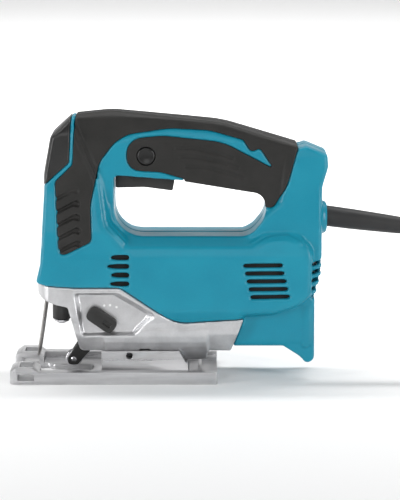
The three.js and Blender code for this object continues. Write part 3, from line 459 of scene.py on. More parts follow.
rear_zone = (
    [
        (REAR - 62, BARREL - 27), (REAR + 5, BARREL - 27), (REAR + 5, CREST - 18),
        (REAR - 33, CREST - 18), (REAR - 36, CREST - 66), (REAR - 62, CREST - 88),
    ],
    mirrored([
        (REAR_HALF, BARREL - 28), (REAR_HALF, GLAND, 24), (REAR_HALF - 3, CREST - 32, 6),
        (REAR_HALF - 6, CREST - 22),
    ]),
    3.4,
)
skirt_zone = (
    [(40, 20), (REAR + 5, 20), (REAR + 5, BARREL - 7), (40, BARREL - 7)],
    mirrored([(SKIRT_HALF - 2, 21), (SKIRT_HALF, 30, 4), (SKIRT_HALF, BARREL - 6)]),
    0.0,
)
zones = (barrel_zone, bulge_zone, column_zone, handle_zone, rear_zone, skirt_zone)
print(len(zones), "zones")

# %% The housing's outer form, moved inwards by a distance
ROUNDING_STEPS = 5
SILHOUETTE_ROUND = 2.6


def housing_form(by, rounded=True):
    crossings = []
    for region, section, radius in zones:
        radius = max(radius, SILHOUETTE_ROUND) if rounded else 0
        steps = ROUNDING_STEPS if rounded else 1
        for step in range(steps):
            angle = math.pi / 2 * step / max(steps - 1, 1)
            drawn_in = radius * (1 - math.cos(angle)) if rounded else 0
            sunk = radius * (1 - math.sin(angle)) if rounded else 0
            edge_in = SILHOUETTE_ROUND * (1 - math.cos(angle)) if rounded else 0
            crossing = prism(inset(side_view, by + edge_in), "y", -PAST - 1, PAST + 1)
            across = prism(inset(section, by + min(sunk, radius)), "x", FRONT - 10, REAR + 10)
            zone = prism(inset(region, by + drawn_in), "y", -PAST, PAST)
            crossings.append(combine(crossing, [across, zone], "INTERSECT"))
    body = combine(crossings[0], crossings[1:], "UNION")
    hole = prism(inset(finger_hole, -by), "y", -PAST - 6, PAST + 6)
    return combine(body, [hole], "DIFFERENCE")


outer_form = housing_form(0)
cavity = housing_form(WALL, rounded=False)
under_grip = housing_form(GRIP_DEEP + 0.5)
proud_form = housing_form(-0.35)
print("outer form", len(outer_form.data.vertices), "vertices")

# %% [markdown]
# ## Openings in the housing
# Air leaves through curved slots in the side and enters through louvres at the rear edge.
# The grip and the front bumper are moulded on in shallow beds, so the same outlines serve
# twice: grown a little to cut the bed, and as they are for the soft piece itself.

# %% Beds for the grip and the bumper
grip_view = [
    (FRONT + 30.2, CREST + 5), (FRONT + 27.6, CREST - 38.5, 3), (FRONT + 14.7, CREST - 51, 3),
    (FRONT + 17.4, BARREL + 12.5, 4), (FRONT + 41.4, BARREL + 24.2, 5),
    (FRONT + 40.4, CREST - 68, 30), (FRONT + 47, CREST - 37, 18),
    (FRONT + 62, CREST - 17.5, 25), (FRONT + 98, CREST - 12.2, 60),
    (REAR - 88.5, CREST - 13.5, 40), (REAR - 63, CREST - 20.5, 3), (REAR - 57, CREST - 30, 3),
    (REAR - 51, CREST - 26, 3), (REAR - 40.5, CREST - 42, 1), (REAR - 78.5, CREST - 22, 40),
    (FRONT + 94, CREST - 17.5, 50), (FRONT + 67.5, CREST - 20, 12),
    (FRONT + 67.5, CREST - 43, 10), (FRONT + 93, CREST - 44.5, 20),
    (FRONT + 110, CREST - 49.5, 1), (FRONT + 110, CREST - 71), (REAR - 52.5, CREST - 69.8),
    (REAR - 41, CREST - 71.4, 5), (REAR - 30.5, CREST - 54, 40), (REAR - 21.2, CREST - 21, 1),
    (REAR - 21.2, CREST + 5),
]
bumper_view = [
    (FRONT + 26.6, CREST + 5), (FRONT + 25, CREST - 37, 3), (FRONT + 6.2, CREST - 53.6),
    (FRONT - 10, CREST - 53.6), (FRONT - 10, CREST + 5),
]
cast_view = [
    (FRONT - 20, BARREL - 7.2), (FRONT, BARREL - 7.2), (FRONT + 8, BARREL - 9.4, 8),
    (FRONT + 28, BARREL - 10.8, 20), (-35.5, BARREL - 10.8, 6), (5.4, BARREL - 38.4, 25),
    (56, BARREL - 35, 0.5), (46.5, BARREL - 60.5), (40, -20), (FRONT - 20, -20),
]
bed_floor = copied(under_grip)
beds = combine(
    prism(inset(grip_view, -GAP), "y", -PAST, PAST),
    [prism(inset(bumper_view, -GAP), "y", -PAST, PAST)],
    "UNION",
)
beds = combine(beds, [bed_floor], "DIFFERENCE")
print("beds", len(beds.data.vertices), "vertices")

# %% Slots, louvres and the small recesses of the left side
FRONT_SLOTS, REAR_SLOTS, LOUVRES = 4, 5, 5


def slot_cutters(side, deep=12):
    near, far = sorted((side * deep, side * 40))
    cutters = []
    for i in range(FRONT_SLOTS):
        z = BARREL + 12.3 - i * 6.6
        tip = -50 if i < 2 else -48.5 + (i - 2) * 1.5
        cutters.append(prism(
            [(tip, z + 0.2), (-38, z + 1.9, 6), (-28.6, z + 1.9, 1.2), (-28.6, z - 1.7, 1.2),
             (-38, z - 1.7, 6), (tip, z - 0.2)], "y", near, far))
    for i in range(REAR_SLOTS):
        z = BARREL + 6.2 - i * 5.9
        x = REAR - 63.5 + i * 1.4
        cutters.append(prism(
            [(x, z - 1.5, 1.2), (x + 30, z - 1.2, 1.2), (x + 30, z + 1.8, 1.2),
             (x, z + 1.5, 1.2)], "y", near, far))
    for i in range(LOUVRES):
        low = BARREL + 5 - i * 6.1
        near_louvre, far_louvre = sorted((side * 9, side * 40))
        cutters.append(prism(
            [(REAR - 12.6, low - 1, 0.6), (REAR + 2, low + 4), (REAR + 2, low + 6.8),
             (REAR - 12.6, low + 1.8, 0.6)], "y", near_louvre, far_louvre))
    return cutters


def crease(side, points, radius):
    """A shallow groove: a round cutter laid along the surface."""
    curve = bpy.data.curves.new("groove", "CURVE")
    curve.dimensions = "3D"
    curve.bevel_depth = radius * MM
    curve.bevel_resolution = 2
    curve.use_fill_caps = True
    line = curve.splines.new("POLY")
    line.points.add(len(points) - 1)
    for point, (x, y, z) in zip(line.points, points):
        point.co = (x * MM, side * y * MM, z * MM, 1)
    laid = bpy.data.objects.new("groove", curve)
    bpy.context.collection.objects.link(laid)
    mesh = evaluated_mesh(laid)
    bpy.data.objects.remove(laid)
    bm = bmesh.new()
    bm.from_mesh(mesh)
    bpy.data.meshes.remove(mesh)
    bmesh.ops.remove_doubles(bm, verts=bm.verts[:], dist=1e-6)
    bmesh.ops.recalc_face_normals(bm, faces=bm.faces[:])
    return object_from(bm, "groove")


column_crease = [
    (-54.6, 31.3, 122), (-53.4, 31.9, 116), (-50.5, 32.1, 110), (-43, 32.1, 102.5),
    (-30, 32.1, 96.4), (-8, 32.2, 94.9), (30, 32.2, 94.9), (62, 32.2, 94.9), (88, 32.2, 90.6),
]

# %% The two halves
SCREWS = (
    (FRONT + 38, CREST - 41), (-39.5, BARREL + 22), (REAR - 24, CREST - 70),
    (REAR - 18.5, BARREL - 19.5),
)
SCREW_FACE, HEAD_R, SHANK_R, BOSS_R = 15.0, 4.0, 1.9, 4.6
BUTTON = (FRONT + 81.7, CREST - 32.6)
BUTTON_R, TRIGGER_HALF = 6.7, 8.0
DIAL = (REAR - 11.4, CREST - 43)
DIAL_R = 10.3
trigger_window = [
    (FRONT + 57, CREST - 62), (FRONT + 105, CREST - 62), (FRONT + 105.5, CREST - 32),
    (FRONT + 62, CREST - 32), (FRONT + 57, CREST - 42),
]


def along_relief(profile, name, steps=64):
    """A turned piece on the strain relief's tilted axis."""
    bm = turned_bmesh(profile, "x", steps=steps)
    tilt = Matrix.Translation(Vector(RELIEF_FROM) * MM) @ Matrix.Rotation(RELIEF_TILT, 4, "Y")
    bmesh.ops.transform(bm, matrix=tilt, verts=bm.verts[:])
    return object_from(bm, name)


def relief_bore(radius, low, high):
    return along_relief([(0, low), (radius, low), (radius, high), (0, high)], "relief_bore")


def one_side(piece, side):
    """The part of a piece on one side of the seam."""
    y_range = (-PAST, -HALF_GAP) if side < 0 else (HALF_GAP, PAST)
    return combine(piece, [block((-200, 200), y_range, (-10, 260))], "INTERSECT")


def housing_half(side, name):
    lugs = prism(
        [(REAR - 9.4, 30), (REAR - 9.4, 15, 4), (REAR - 15, 11.5, 3), (REAR - 20.5, 17.5, 4),
         (REAR - 33, 25.5, 4), (REAR - 33, 30)],
        "y", *sorted((side * 14, side * 21)))
    ridge = turned(
        [(0, 24), (4.6, 24), (6, 25.6), (6, 56), (3, 63), (0, 64)], "z",
        (REAR - 15.4, side * 17, 0), 40)
    gland_boss = turned(
        [(0, -18), (11.6, -18), (11.6, -5.2), (12.2, -4.2), (12.2, -2), (11.2, -0.5), (9.6, 0),
         (0, 0)], "x", (REAR, 0, GLAND - 0.8), 64)
    bracket = combine(
        block((REAR - 20, REAR - 12.4), sorted((side * 20.6, side * 30)), (23.4, 27.2)),
        [block((REAR - 18.2, REAR - 14.2), sorted((side * 19, side * 31)), (25, 30))],
        "DIFFERENCE")
    hollow = copied(cavity)
    bosses = [rod(BOSS_R, -40, 40, "y", (x, 0, z), 24) for x, z in SCREWS]
    seat = combine(
        block((REAR - 31, REAR - 23), (-32, 32), (53, 105)),
        [rod(11.3, REAR - 32, REAR - 22, "x", (0, 0, 79))], "DIFFERENCE")
    hollow = combine(hollow, bosses + [seat], "DIFFERENCE")
    cutters = [
        hollow,
        copied(beds),
        prism(inset(cast_view, -GAP), "y", -PAST, PAST),
        prism(
            mirrored([(COLUMN_HALF - WALL - 0.2, BARREL - 12.3),
                      (COLUMN_HALF - WALL - 0.2, BARREL + 30),
                      (COLUMN_HALF - WALL - 6.7, BARREL + 55.3)]), "x", -91, -46.7),
        prism(trigger_window, "y", -TRIGGER_HALF - GAP, TRIGGER_HALF + GAP),
        rod(DIAL_R + 0.6, -4.6, 4.6, "y", (DIAL[0], 0, DIAL[1])),
        relief_bore(8.2, -14, 6),
        relief_bore(10.2, -14, -7.4),
        rod(2.1, -11.4, 11.4, "y", (FRONT + 64, 0, CREST - 45), 24),
        rod(13, REAR - 55, REAR, "x", (0, 0, 40)),
        block((REAR - 68, REAR - 54), (-12, 12), (30, 50)),
        crease(side, column_crease, 1.0),
        bracket,
    ] + slot_cutters(side)
    for x, z in SCREWS:
        cutters.append(rod(SHANK_R + GAP, -14, PAST, "y", (x, 0, z), 24))
        if side > 0:
            cutters.append(rod(HEAD_R + GAP, SCREW_FACE, PAST, "y", (x, 0, z), 32))
    if side < 0:
        cutters.append(rod(BUTTON_R + GAP, -PAST, 0, "y", (BUTTON[0], 0, BUTTON[1])))
    half = combine(copied(outer_form, name), [lugs, ridge, gland_boss], "UNION")
    half = combine(half, cutters, "DIFFERENCE")
    half = soften(one_side(half, side), SHELL_CELL, 3)
    print(name, len(half.data.polygons), "faces")
    return half


shells = {
    "housing_left": housing_half(-1, "housing_left_shell"),
    "housing_right": housing_half(1, "housing_right_shell"),
}

# %% [markdown]
# ## Soft grip and front bumper
# The grip is a matte elastomer, moulded over the handle and down the front column, with
# slanted finger ribs. The bumper is a harder, glossier moulding over the nose. Both fill
# their beds and stand a hair proud of the shell, which draws the thin line around them.

# %% The soft grip
RIB_PITCH, RIBS = 9.7, 5


def rib_cutters(side):
    near, far = sorted((side * (COLUMN_HALF - 7.4), side * PAST))
    cutters = []
    for i in range(RIBS):
        z = BARREL + 20.5 + i * RIB_PITCH
        x = FRONT + 17 - i * 0.35
        cutters.append(prism(
            [(x - 2, z - 3.4), (x + 14.4, z + 5.2, 4), (x + 17.2, z + 2.8, 1.6),
             (x + 15.8, z - 0.6, 1.2), (x + 12.6, z + 1.2, 2.5), (x - 2, z - 6)],
            "y", near, far))
    return cutters


def overmould(view, name, side=0, ribs=()):
    piece = combine(copied(proud_form, name), [prism(view, "y", -PAST, PAST)], "INTERSECT")
    piece = combine(piece, [copied(under_grip)], "DIFFERENCE")
    cutters = list(ribs)
    cutters.append(prism(trigger_window, "y", -TRIGGER_HALF - GAP, TRIGGER_HALF + GAP))
    if side < 0:
        cutters.append(rod(BUTTON_R + GAP, -PAST, 0, "y", (BUTTON[0], 0, BUTTON[1])))
    if side > 0:
        x, z = SCREWS[0]
        cutters.append(rod(HEAD_R + GAP, 0, PAST, "y", (x, 0, z)))
    piece = combine(piece, cutters, "DIFFERENCE")
    if side:
        piece = one_side(piece, side)
    piece = soften(piece, SOFT_CELL, 3 if side else 8)
    print(name, len(piece.data.polygons), "faces")
    return piece


def shallow_ribs(side):
    """Rib cutters that stop halfway through the grip."""
    cutters = rib_cutters(side)
    joined = combine(cutters[0], cutters[1:], "UNION")
    floor = copied(rib_floor)
    grooves = [crease(side, points, 1.7) for points in palm_grooves]
    return [combine(joined, [floor], "DIFFERENCE")] + grooves


rib_floor = housing_form(1.7)
palm_grooves = (
    [(5, 20.7, 174.5), (20, 20.7, 174), (38, 20.7, 170), (49, 20.7, 166.5)],
    [(8, 20.7, 168), (24, 20.7, 167.3), (42, 20.7, 163), (53, 20.7, 159.5)],
    [(12, 20.7, 161), (28, 20.7, 160), (46, 20.7, 155.5), (57, 20.7, 151.5)],
)
for side, half_name in ((-1, "grip_left"), (1, "grip_right")):
    shells[half_name] = overmould(grip_view, half_name + "_soft", side, shallow_ribs(side))
shells["front_bumper"] = overmould(bumper_view, "front_bumper_shell")

# %% Clear the forms that only served as tools
for blank in (outer_form, cavity, under_grip, proud_form, beds, rib_floor):
    bpy.data.objects.remove(blank)
print("moulded pieces:", ", ".join(shells))

# %% [markdown]
# ## Cast, machined and hard pieces
# The gear housing is die-cast, so a copy of its solid is remeshed and softened like the
# shells. The sole plate, arm, lever and other stamped or milled pieces keep flat faces: a
# copy of each solid is merged, its coplanar triangles are dissolved, and a narrow bevel with
# hardened normals catches the light along every edge.

# %% Copies of solids
def merged_copy(node, name):
    bm = bmesh.new()
    bm.from_mesh(nodes[node].data)
    bmesh.ops.remove_doubles(bm, verts=bm.verts[:], dist=2e-6)
    bmesh.ops.dissolve_limit(
        bm, angle_limit=math.radians(0.6), verts=bm.verts[:], edges=bm.edges[:],
    )
    return object_from(bm, name)


def bevelled(piece, width, segments=2, angle=28):
    bevel = piece.modifiers.new("edge", "BEVEL")
    bevel.width = width * MM
    bevel.segments = segments
    bevel.limit_method = "ANGLE"
    bevel.angle_limit = math.radians(angle)
    bevel.harden_normals = True
    piece.data.shade_smooth()
    return piece


EDGE_WIDTH = {
    "base_plate": 0.55, "roller_arm": 0.35, "orbit_lever": 0.6, "trigger": 0.9,
    "angle_plate": 0.3, "blade_clamp_collar": 0.45, "plug_body": 1.6, "switch_body": 0.5,
    "capacitor": 0.6, "gear_cover": 0.4, "yoke": 0.4, "cord_tie": 0.35,
    "orbit_cam_shaft": 0.3, "brush_holder_left": 0.3, "brush_holder_right": 0.3,
}
dressed = {}
for node, width in EDGE_WIDTH.items():
    dressed[node] = bevelled(merged_copy(node, node + "_finished"), width)
guard = merged_copy("blade_guard", "blade_guard_wire")
guard.data.shade_smooth()
dressed["blade_guard"] = guard
print("bevelled:", ", ".join(dressed))

# %% The cast gear housing
POCKET_PIVOT = (-45.0, 43.2)
pocket_rim = [
    (-70.5, 67.6, 2), (-35, 67.6, 5), (-5.5, 50, 3), (-23, 32.6, 3), (-65.5, 33, 2),
]
pocket_edge = [(-68, 66, 1.5), (-41, 66, 4), (-14, 50, 2), (-27, 36, 3), (-64, 35, 2)]


def tapered(outer, inner, y_outer, y_inner):
    """A cutter whose outline changes along Y, for a sloped rim."""
    bm = outline_face(outer)
    bmesh.ops.translate(bm, verts=bm.verts[:], vec=(0, 0, y_outer * MM))
    floor_bm = outline_face(inner)
    bmesh.ops.translate(floor_bm, verts=floor_bm.verts[:], vec=(0, 0, y_inner * MM))
    floor_mesh = bpy.data.meshes.new("floor")
    floor_bm.to_mesh(floor_mesh)
    floor_bm.free()
    bm.from_mesh(floor_mesh)
    bpy.data.meshes.remove(floor_mesh)
    bmesh.ops.bridge_loops(bm, edges=bm.edges[:])
    bmesh.ops.transform(bm, matrix=AXIS_FRAMES["y"], verts=bm.verts[:])
    bmesh.ops.recalc_face_normals(bm, faces=bm.faces[:])
    return object_from(bm, "cutter")


casting = merged_copy("gear_housing", "gear_housing_casting")
combine(casting, [tapered(pocket_rim, pocket_edge, -31.5, -24.6)], "DIFFERENCE")
dressed["gear_housing"] = soften(casting, CAST_CELL, 2)
print("casting", len(casting.data.polygons), "faces")

# %% [markdown]
# ## Turned pieces
# Rollers, pins, the plunger and the push button are made on a lathe, and the strain relief is
# moulded round. Each is a short profile of radii and heights, spun once around its axis.
# Chamfers are part of the profile, so the pieces need no bevel afterwards.

# %% Turned pieces
ROLLER = (-72.1, 0, 11.8)
PLUNGER_AT = (-81, 0, 0)
ROLLER_R, PIN_R, PLUNGER_R = 6.3, 1.9, 4.5


def lathe(node, profile, axis, at, steps=72, sharp=32):
    piece = turned(profile, axis, at, steps, node + "_turned")
    smooth_between_edges(piece, sharp)
    dressed[node] = piece
    return piece


lathe("roller", [
    (2.3, -3.2), (5.2, -3.2), (5.7, -2.9), (ROLLER_R, -2.2), (ROLLER_R - 0.5, -0.9),
    (ROLLER_R - 0.5, 0.9), (ROLLER_R, 2.2), (5.7, 2.9), (5.2, 3.2), (2.3, 3.2), (2.3, -3.2),
], "y", ROLLER)
lathe("roller_pin", [
    (0, -6.3), (1.3, -6.3), (PIN_R, -5.9), (PIN_R, 5.9), (1.3, 6.3), (0, 6.3),
], "y", ROLLER, 32)
lathe("arm_pivot_pin", [
    (0, -13), (1.4, -13), (PIN_R, -12.5), (PIN_R, 12.5), (1.4, 13), (0, 13),
], "y", (-57.5, 0, 31), 32)
CLAMP_TOP, CLAMP_LOW = BARREL - 24.5, BARREL - 43
lathe("plunger", [
    (0, CLAMP_TOP + 0.3), (3.9, CLAMP_TOP + 0.3), (PLUNGER_R, CLAMP_TOP + 0.9),
    (PLUNGER_R, BARREL + 74.2), (3.7, BARREL + 75), (0, BARREL + 75),
], "z", PLUNGER_AT, 48)
clamp = lathe("blade_clamp_body", [
    (0, CLAMP_LOW), (3, CLAMP_LOW), (3.5, CLAMP_LOW + 0.3), (5.7, CLAMP_LOW + 1.6),
    (5.8, CLAMP_LOW + 2.6), (5.6, CLAMP_LOW + 2.9), (5, CLAMP_LOW + 3.1), (5, CLAMP_TOP),
    (0, CLAMP_TOP),
], "z", PLUNGER_AT, 64)
combine(clamp, [block((-85.6, -76.4), (-0.8, 0.8), (CLAMP_LOW - 1, CLAMP_LOW + 15))], "DIFFERENCE")
smooth_between_edges(clamp, 30)
button_out = HANDLE_HALF + 0.2
button = lathe("lock_button", [
    (0, 0.9 - button_out), (2.5, 0.75 - button_out), (4.6, 0.2 - button_out),
    (5.2, 0.02 - button_out), (5.9, 0.15 - button_out), (6.5, 0.7 - button_out),
    (BUTTON_R, 1.3 - button_out), (BUTTON_R, 4.6 - button_out),
    (BUTTON_R + 0.8, 4.6 - button_out), (BUTTON_R + 0.8, 6.2 - button_out),
    (0, 6.2 - button_out),
], "y", (BUTTON[0], 0, BUTTON[1]), 96, 50)
print("turned:", len(dressed), "pieces dressed so far")

# %% The thumb wheel with its grooves
KNURLS = 24
wheel = lathe("speed_dial", [
    (0, -4.2), (DIAL_R - 1, -4.2), (DIAL_R - 0.1, -3.4), (DIAL_R - 0.1, 3.4),
    (DIAL_R - 1, 4.2), (0, 4.2),
], "y", (DIAL[0], 0, DIAL[1]), 96)
grooves = []
for i in range(KNURLS):
    around = math.radians(360 * i / KNURLS)
    centre = (
        DIAL[0] + (DIAL_R + 0.3) * math.cos(around), 0, DIAL[1] + (DIAL_R + 0.3) * math.sin(around),
    )
    grooves.append(rod(0.8, -6, 6, "y", centre, 10))
combine(wheel, grooves, "DIFFERENCE")
smooth_between_edges(wheel, 30)

# %% [markdown]
# ## The strain relief
# A flexible sleeve keeps the cord from kinking where it leaves the housing. Its collar is
# held inside the shell, and it tapers towards a rounded tip.

# %% Strain relief
sleeve = along_relief([
    (0, -11.5), (9.6, -11.5), (9.6, -8), (7.8, -8), (7.8, 1), (7.75, 8), (7.6, 18), (7.3, 30),
    (6.8, 45), (6.4, 55), (6.1, 58), (5.5, 59.5), (4.9, 60), (0, 60),
], "strain_relief_sleeve", 72)
smooth_between_edges(sleeve, 40)
dressed["strain_relief"] = sleeve
dressed.update(shells)

# %% [markdown]
# ## Small things that ride on the housing
# Behind each group of air slots sits a thin near-black sheet, painted shade that makes the
# slots look dark. Three small painted marks on the floor of the selector's pocket show its
# positions.

# %% Painted shade sheets and marks
SHADE_SHEET_IN = BARREL_HALF - WALL - 1.0


# A near-black sheet just inside the wall: painted shade seen through the slots.
def shade_sheet(side, x_range, z_range, name):
    y_range = sorted((side * SHADE_SHEET_IN, side * (SHADE_SHEET_IN + 0.6)))
    piece = block(x_range, y_range, z_range, name)
    return bevelled(piece, 0.15)


extras = {}
for side, label in ((-1, "left"), (1, "right")):
    rear_shade_sheet = shade_sheet(side, (REAR - 66, REAR - 28), (BARREL - 21, BARREL + 10.5),
                         "rear_screen_" + label)
    front_shade_sheet = shade_sheet(side, (-47, -27.4), (BARREL - 10, BARREL + 16), "front_screen_" + label)
    extras[rear_shade_sheet] = extras[front_shade_sheet] = "hard_black"
POCKET_FLOOR, MARKS_OUT = -22.5, 13.8
marks = []
for turned_by in (63, 84, 102):
    spot = math.radians(turned_by)
    at = (
        POCKET_PIVOT[0] + MARKS_OUT * math.cos(spot), POCKET_FLOOR,
        POCKET_PIVOT[1] + MARKS_OUT * math.sin(spot),
    )
    marks.append(turned([(0, -0.1), (0.8, -0.1), (0.9, -0.04), (0.9, 0.3), (0, 0.3)], "y", at, 24))
index_marks = combine(marks[0], marks[1:], "UNION")
index_marks.name = "index_marks"
index_marks.data.name = "index_marks"
extras[index_marks] = "board"

# %% [markdown]
# ## Effects that materials share
# Real surfaces vary. Three small effects are built once as shader groups: a fine grain for
# mouldings and rubber, a coarser skin for castings, and long marks for ground steel. A
# fourth finds convex edges, where a paler tone is painted on as a highlight.

# %% Shader groups
def shader_group(name, inputs, outputs):
    group = bpy.data.node_groups.new(name, "ShaderNodeTree")
    for label, default in inputs:
        socket = group.interface.new_socket(label, in_out="INPUT", socket_type="NodeSocketFloat")
        socket.default_value = default
    for label in outputs:
        group.interface.new_socket(label, in_out="OUTPUT", socket_type="NodeSocketFloat")
    enter = group.nodes.new("NodeGroupInput")
    leave = group.nodes.new("NodeGroupOutput")
    return group, enter, leave


def node_in(tree, kind, links=(), **settings):
    made = tree.nodes.new(kind)
    for key, value in settings.items():
        setattr(made, key, value)
    for socket, source in links:
        target = made.inputs[socket]
        if isinstance(source, bpy.types.NodeSocket):
            tree.links.new(source, target)
        else:
            target.default_value = source
    return made


def surface_group(name, stretch, fine, coarse):
    """Noise in two sizes: Height for relief and Tone for colour and gloss."""
    group, enter, leave = shader_group(name, [("Scale", 600.0)], ["Height", "Tone"])
    place = node_in(group, "ShaderNodeTexCoord")
    mapped = node_in(group, "ShaderNodeMapping", [
        ("Vector", place.outputs["Object"]), ("Scale", stretch)])
    small = node_in(group, "ShaderNodeTexNoise", [
        ("Vector", mapped.outputs["Vector"]), ("Scale", enter.outputs["Scale"]),
        ("Detail", fine), ("Roughness", 0.6)])
    larger = node_in(group, "ShaderNodeMath", [
        (0, enter.outputs["Scale"]), (1, coarse)], operation="MULTIPLY")
    broad = node_in(group, "ShaderNodeTexNoise", [
        ("Vector", mapped.outputs["Vector"]), ("Scale", larger.outputs[0]),
        ("Detail", 3.0), ("Roughness", 0.5)])
    blended = node_in(group, "ShaderNodeMath", [
        (0, small.outputs["Fac"]), (1, 0.45), (2, broad.outputs["Fac"])], operation="MULTIPLY_ADD")
    tone = node_in(group, "ShaderNodeMapRange", [
        ("Value", blended.outputs[0]), ("From Min", 0.5), ("From Max", 0.95)])
    group.links.new(small.outputs["Fac"], leave.inputs["Height"])
    group.links.new(tone.outputs["Result"], leave.inputs["Tone"])
    return group


def edge_highlight_group():
    """Convex edges for a painted highlight, broken up by noise."""
    group, enter, leave = shader_group("painted_edge_highlight", [("Amount", 0.5)], ["Mask"])
    shape = node_in(group, "ShaderNodeNewGeometry")
    convex = node_in(group, "ShaderNodeMapRange", [
        ("Value", shape.outputs["Pointiness"]), ("From Min", 0.515), ("From Max", 0.60)])
    place = node_in(group, "ShaderNodeTexCoord")
    patch = node_in(group, "ShaderNodeTexNoise", [
        ("Vector", place.outputs["Object"]), ("Scale", 120.0), ("Detail", 4.0)])
    broken = node_in(group, "ShaderNodeMath", [
        (0, convex.outputs["Result"]), (1, patch.outputs["Fac"])], operation="MULTIPLY")
    scaled = node_in(group, "ShaderNodeMath", [
        (0, broken.outputs[0]), (1, enter.outputs["Amount"])], operation="MULTIPLY")
    group.links.new(scaled.outputs[0], leave.inputs["Mask"])
    return group


surfaces = {
    "moulded": surface_group("moulded_grain", (1, 1, 1), 2.0, 0.04),
    "cast": surface_group("cast_skin", (1, 1, 1), 5.0, 0.12),
    "ground": surface_group("ground_marks", (0.06, 1, 1), 3.0, 0.2),
    "lay": surface_group("plunger_marks", (1, 1, 0.05), 3.0, 0.2),
}
painted_edge_highlight = edge_highlight_group()
print("shader groups:", ", ".join(group.name for group in bpy.data.node_groups))


# %% [markdown]
# ## One recipe for every finish
# A finish is two close tones mixed by the surface's own noise, a painted highlight in a paler
# tone on convex edges, a range of roughness that follows the same noise, and a little relief,
# given as a strength and a depth. Values that stay the same all over, such as metalness, are set on
# the shader.

# %% Finishes
COAT_ROUGHNESS = 0.12
MIX_FACTOR, MIX_A, MIX_B, MIX_RESULT = 0, 6, 7, 2


def finish(
    name, surface, scale, tones, highlight_tone, highlight_amount, roughness, relief, metallic=0.0, coat=0.0,
    shine=0.5,
):
    material = bpy.data.materials.new(name)
    material.use_nodes = True
    tree = material.node_tree
    shader = tree.nodes["Principled BSDF"]
    grain = node_in(tree, "ShaderNodeGroup", node_tree=surfaces[surface])
    grain.inputs["Scale"].default_value = scale
    highlight_node = node_in(tree, "ShaderNodeGroup", node_tree=painted_edge_highlight)
    highlight_node.inputs["Amount"].default_value = highlight_amount
    two_tone = node_in(tree, "ShaderNodeMix", data_type="RGBA")
    tree.links.new(grain.outputs["Tone"], two_tone.inputs[MIX_FACTOR])
    two_tone.inputs[MIX_A].default_value = (*tones[0], 1)
    two_tone.inputs[MIX_B].default_value = (*tones[1], 1)
    # Convex edges take the paler tone: a painted highlight.
    highlighted = node_in(tree, "ShaderNodeMix", data_type="RGBA")
    tree.links.new(highlight_node.outputs["Mask"], highlighted.inputs[MIX_FACTOR])
    tree.links.new(two_tone.outputs[MIX_RESULT], highlighted.inputs[MIX_A])
    highlighted.inputs[MIX_B].default_value = (*highlight_tone, 1)
    tree.links.new(highlighted.outputs[MIX_RESULT], shader.inputs["Base Color"])
    gloss = node_in(tree, "ShaderNodeMapRange", [
        ("Value", grain.outputs["Tone"]), ("To Min", roughness[0]), ("To Max", roughness[1])])
    tree.links.new(gloss.outputs["Result"], shader.inputs["Roughness"])
    bump = node_in(tree, "ShaderNodeBump", [
        ("Height", grain.outputs["Height"]), ("Strength", relief[0]),
        ("Distance", relief[1] * MM)])
    tree.links.new(bump.outputs["Normal"], shader.inputs["Normal"])
    shader.inputs["Metallic"].default_value = metallic
    shader.inputs["Coat Weight"].default_value = coat
    shader.inputs["Coat Roughness"].default_value = COAT_ROUGHNESS
    shader.inputs["Specular IOR Level"].default_value = shine
    return material


# The third colour of each finish is the paler tone of its painted edge highlight.
teal = finish("teal_moulding", "moulded", 900, ((0.002, 0.195, 0.288), (0.003, 0.225, 0.322)),
              (0.10, 0.42, 0.54), 0.5, (0.30, 0.42), (0.12, 0.10), shine=0.36)
grip_rubber = finish("grip_rubber", "moulded", 1300, ((0.010, 0.010, 0.009), (0.020, 0.019, 0.018)),
                     (0.05, 0.05, 0.048), 0.5, (0.50, 0.66), (0.35, 0.15), shine=0.32)
nose_black = finish("nose_black", "moulded", 1000, ((0.009, 0.009, 0.009), (0.014, 0.014, 0.014)),
                    (0.05, 0.05, 0.05), 0.4, (0.30, 0.40), (0.08, 0.05))
button_black = finish("button_black", "moulded", 900,
                      ((0.004, 0.004, 0.004), (0.007, 0.007, 0.007)),
                      (0.03, 0.03, 0.03), 0.4, (0.26, 0.34), (0.04, 0.04), coat=0.1, shine=0.4)
hard_black = finish("hard_black", "moulded", 1000, ((0.007, 0.007, 0.007), (0.013, 0.013, 0.012)),
                    (0.08, 0.08, 0.08), 0.5, (0.32, 0.48), (0.15, 0.10))
cord_rubber = finish("cord_rubber", "moulded", 1500, ((0.009, 0.009, 0.010), (0.017, 0.017, 0.017)),
                     (0.05, 0.05, 0.05), 0.4, (0.45, 0.60), (0.30, 0.12))
cast_metal = finish("cast_metal", "cast", 700, ((0.50, 0.50, 0.51), (0.62, 0.62, 0.63)),
                    (0.85, 0.85, 0.86), 0.8, (0.30, 0.46), (0.35, 0.12), 0.85)
sole_metal = finish("sole_metal", "ground", 900, ((0.42, 0.42, 0.43), (0.56, 0.56, 0.57)),
                    (0.85, 0.85, 0.86), 0.9, (0.26, 0.42), (0.25, 0.10), 0.9)
bright_steel = finish("bright_steel", "ground", 1400, ((0.50, 0.50, 0.52), (0.66, 0.66, 0.68)),
                      (0.80, 0.80, 0.82), 0.6, (0.16, 0.30), (0.12, 0.06), 1.0)
plunger_steel = finish("plunger_steel", "lay", 1400, ((0.50, 0.50, 0.52), (0.66, 0.66, 0.68)),
                       (0.80, 0.80, 0.82), 0.6, (0.14, 0.26), (0.12, 0.06), 1.0)
core_iron = finish("core_iron", "ground", 1100, ((0.12, 0.12, 0.125), (0.20, 0.20, 0.205)),
                   (0.35, 0.35, 0.36), 0.6, (0.40, 0.55), (0.25, 0.10), 0.9)
wire_copper = finish("wire_copper", "ground", 1600, ((0.42, 0.16, 0.07), (0.60, 0.26, 0.13)),
                     (0.75, 0.42, 0.26), 0.6, (0.25, 0.42), (0.4, 0.2), 0.9)
